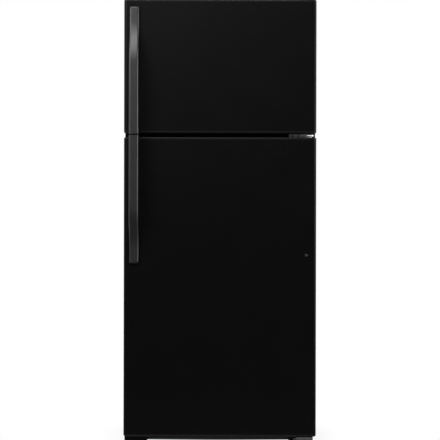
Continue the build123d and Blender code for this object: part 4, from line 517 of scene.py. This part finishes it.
POINTER_WIDTH = 0.0016
POINTER_LENGTH = 0.007
POINTER_DEPTH = 0.0006
GRIP_END_GAP = 0.005
DOT_COUNT = 9
DOT_STEP = 33.75
DOT_RING = 0.015
DOT_SMALL = 0.0004
DOT_GROWTH = 0.00007
DOT_DEPTH = 0.0002
DOT_SIDES = 20
housing_low, housing_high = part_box("control_housing")
for dial in ("fridge_control", "freezer_control"):
    knob_low, knob_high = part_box(f"{dial}_knob")
    middle = (knob_low + knob_high) / 2
    pointer_level = knob_high.z - GRIP_END_GAP - POINTER_LENGTH / 2
    pointer = bmesh.new()
    bmesh.ops.create_cube(
        pointer,
        size=1,
        matrix=Matrix.Translation((middle.x, knob_low.y, pointer_level))
        @ Matrix.Diagonal((POINTER_WIDTH, POINTER_DEPTH, POINTER_LENGTH, 1)),
    )
    soften(pointer, pointer.edges[:], radius=POINTER_DEPTH / 3, steps=2)
    new_piece(f"{dial}_pointer", pointer, white, f"{dial}_knob")
    dots = bmesh.new()
    for dot in range(DOT_COUNT):
        turn = math.radians((dot - (DOT_COUNT - 1) / 2) * DOT_STEP)
        across = middle.x + DOT_RING * math.sin(turn)
        level = middle.z + DOT_RING * math.cos(turn)
        front_end = (across, housing_low.y - DOT_DEPTH / 2, level)
        back_end = (across, housing_low.y + DOT_DEPTH / 2, level)
        add_rod(dots, front_end, back_end, DOT_SMALL + dot * DOT_GROWTH, DOT_SIDES)
    new_piece(f"{dial}_dots", dots, print_grey, "cabinet")

# Lamp: a blown bulb of frosted glass, screwed into a white moulded socket on the back of the
# control housing, where the lens covers it.
frosted = new_finish("frosted_glass", (0.9, 0.89, 0.86), roughness=0.475, transmission=0.4)
gloss(frosted, noise_pattern(frosted, grain=0.003), spread=0.075)
relief(frosted, noise_pattern(frosted, grain=0.0006), depth=0.00003, strength=0.5)

BULB_PROFILE = (
    (0.0, 0.0),
    (0.0065, 0.0),
    (0.0065, 0.006),
    (0.0085, 0.012),
    (0.011, 0.02),
    (0.0115, 0.028),
    (0.0105, 0.036),
    (0.007, 0.0425),
    (0.0, 0.045),
)
SOCKET_PROFILE = (
    (0.0, 0.0),
    (0.0125, 0.0),
    (0.0125, 0.004),
    (0.0095, 0.006),
    (0.0095, 0.014),
    (0.0065, 0.0145),
    (0.0, 0.0145),
)
SOCKET_LENGTH = 0.0135
LAMP_STEPS = 32
MERGE_REACH = 0.00001
lens_low, lens_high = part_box("light_lens")
lamp_level = (lens_low.z + lens_high.z) / 2
for name, profile, start, finish in (
    ("lamp_socket", SOCKET_PROFILE, housing_high.y, white),
    ("lamp_bulb", BULB_PROFILE, housing_high.y + SOCKET_LENGTH, frosted),
):
    lamp_mesh = bmesh.new()
    points = [(radius, start + along, lamp_level) for radius, along in profile]
    verts = [lamp_mesh.verts.new(point) for point in points]
    edges = [lamp_mesh.edges.new(pair) for pair in zip(verts, verts[1:])]
    bmesh.ops.spin(
        lamp_mesh,
        geom=verts + edges,
        cent=(0, start, lamp_level),
        axis=(0, 1, 0),
        angle=math.radians(360),
        steps=LAMP_STEPS,
        use_merge=True,
    )
    bmesh.ops.remove_doubles(lamp_mesh, verts=lamp_mesh.verts, dist=MERGE_REACH)
    bmesh.ops.recalc_face_normals(lamp_mesh, faces=lamp_mesh.faces)
    new_piece(name, lamp_mesh, finish, "cabinet")

# Studio floor: pale paper that keeps the shadow under the cabinet and runs out to plain white.
# Its front half lies in the dark of the room, where only the doors' gloss would meet it.
FLOOR_REACH = 12.0
SHADOW_START = 0.0
SHADOW_END = 0.48
FRONT_LEVEL = 0.05
FLOOR_DARK = -1.0
FLOOR_LIGHT = 0.5
floor_mesh = bmesh.new()
bmesh.ops.create_grid(floor_mesh, x_segments=1, y_segments=1, size=FLOOR_REACH)
floor_data = bpy.data.meshes.new("studio_floor")
floor_mesh.to_mesh(floor_data)
floor_mesh.free()
floor = bpy.data.objects.new("studio_floor", floor_data)
bpy.context.scene.collection.objects.link(floor)
floor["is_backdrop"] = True


def front_to_back(tree, direction, dark, light):
    """A level that rises from the front of the studio to its white back."""
    parts = tree.nodes.new("ShaderNodeSeparateXYZ")
    level = tree.nodes.new("ShaderNodeMapRange")
    level.inputs["From Min"].default_value = dark
    level.inputs["From Max"].default_value = light
    level.inputs["To Min"].default_value = FRONT_LEVEL
    tree.links.new(direction, parts.inputs["Vector"])
    tree.links.new(parts.outputs["Y"], level.inputs["Value"])
    return level.outputs["Result"]


def plainly_seen(tree, ray):
    """One where the camera looks straight at the studio, or through something clear."""
    seen = tree.nodes.new("ShaderNodeMath")
    seen.operation = "MAXIMUM"
    tree.links.new(ray.outputs["Is Camera Ray"], seen.inputs[0])
    tree.links.new(ray.outputs["Is Transmission Ray"], seen.inputs[1])
    return seen.outputs["Value"]


def mixed(tree, share, first, second):
    """Two shaders in one, the second by a share."""
    mix = tree.nodes.new("ShaderNodeMixShader")
    tree.links.new(share, mix.inputs["Fac"])
    tree.links.new(first, mix.inputs[1])
    tree.links.new(second, mix.inputs[2])
    return mix.outputs["Shader"]


paper = new_finish("floor_paper", (0.92, 0.92, 0.92), roughness=0.9, specular=0.0)
tree = paper.node_tree
place = tree.nodes.new("ShaderNodeTexCoord")
ray = tree.nodes.new("ShaderNodeLightPath")
distance = tree.nodes.new("ShaderNodeVectorMath")
distance.operation = "LENGTH"
fade = tree.nodes.new("ShaderNodeMapRange")
fade.inputs["From Min"].default_value = SHADOW_START
fade.inputs["From Max"].default_value = SHADOW_END
plain = tree.nodes.new("ShaderNodeMath")
plain.operation = "MULTIPLY"
tree.links.new(place.outputs["Object"], distance.inputs[0])
tree.links.new(distance.outputs["Value"], fade.inputs["Value"])
tree.links.new(fade.outputs["Result"], plain.inputs[0])
tree.links.new(plainly_seen(tree, ray), plain.inputs[1])
bright = tree.nodes.new("ShaderNodeEmission").outputs["Emission"]
mirrored = tree.nodes.new("ShaderNodeEmission")
mirror_level = front_to_back(tree, place.outputs["Object"], FLOOR_DARK, FLOOR_LIGHT)
tree.links.new(mirror_level, mirrored.inputs["Strength"])
shadowed = tree.nodes["Principled BSDF"].outputs["BSDF"]
shown = mixed(tree, plain.outputs["Value"], shadowed, bright)
surface = mixed(tree, ray.outputs["Is Glossy Ray"], shown, mirrored.outputs["Emission"])
tree.links.new(surface, tree.nodes["Material Output"].inputs["Surface"])
floor_data.materials.append(paper)

# Studio light: an even room with a white back and a dark front, a soft box above and one at
# each side.
ROOM_WHITE = (1, 1, 1, 1)
ROOM_LEVEL = 0.6
ROOM_DARK = -0.2
ROOM_LIGHT = 1.0
room = bpy.data.worlds.new("studio")
bpy.context.scene.world = room
room.use_nodes = True
tree = room.node_tree
way = tree.nodes.new("ShaderNodeTexCoord")
ray = tree.nodes.new("ShaderNodeLightPath")
even = tree.nodes["Background"]
even.inputs["Strength"].default_value = ROOM_LEVEL
backdrop = tree.nodes.new("ShaderNodeBackground")
mirrored = tree.nodes.new("ShaderNodeBackground")
mirror_level = front_to_back(tree, way.outputs["Generated"], ROOM_DARK, ROOM_LIGHT)
tree.links.new(mirror_level, mirrored.inputs["Strength"])
for glow in (even, backdrop, mirrored):
    glow.inputs["Color"].default_value = ROOM_WHITE
even_light = even.outputs["Background"]
mirrored_light = mirrored.outputs["Background"]
shown = mixed(tree, ray.outputs["Is Glossy Ray"], even_light, mirrored_light)
surface = mixed(tree, plainly_seen(tree, ray), shown, backdrop.outputs["Background"])
tree.links.new(surface, tree.nodes["World Output"].inputs["Surface"])


def soft_box(name, place, target, wide, tall, power):
    """A rectangular studio light that faces a target."""
    lamp = bpy.data.lights.new(name, "AREA")
    lamp.shape = "RECTANGLE"
    lamp.size = wide
    lamp.size_y = tall
    lamp.energy = power
    box = bpy.data.objects.new(name, lamp)
    box.location = place
    box.rotation_euler = (Vector(target) - Vector(place)).to_track_quat("-Z", "Y").to_euler()
    bpy.context.scene.collection.objects.link(box)


soft_box(
    "top_box", place=(-0.5, -1.3, 2.9), target=(-0.2, -0.5, 1.2), wide=1.6, tall=2.2, power=47
)
soft_box(
    "left_box", place=(-1.9, -1.6, 2.1), target=(-0.3, -0.3, 1.5), wide=0.9, tall=1.0, power=30
)
soft_box(
    "right_box", place=(2.4, -0.8, 1.5), target=(0.3, -0.3, 1.2), wide=0.5, tall=1.6, power=50
)

# Camera: square to the doors from far off, level with the middle of the picture, and rolled
# by the slight tilt that the picture has.
CAMERA_PLACE = (0.0, -4.8335, 0.848)
CAMERA_LENS = 99.85
CAMERA_ROLL = -0.12
camera_data = bpy.data.cameras.new("photo_camera")
camera_data.lens = CAMERA_LENS
camera = bpy.data.objects.new("photo_camera", camera_data)
camera.location = CAMERA_PLACE
camera.rotation_euler = (math.radians(90), math.radians(CAMERA_ROLL), 0)
bpy.context.scene.collection.objects.link(camera)
bpy.context.scene.camera = camera
bpy.context.scene.view_settings.view_transform = "Standard"

low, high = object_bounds()
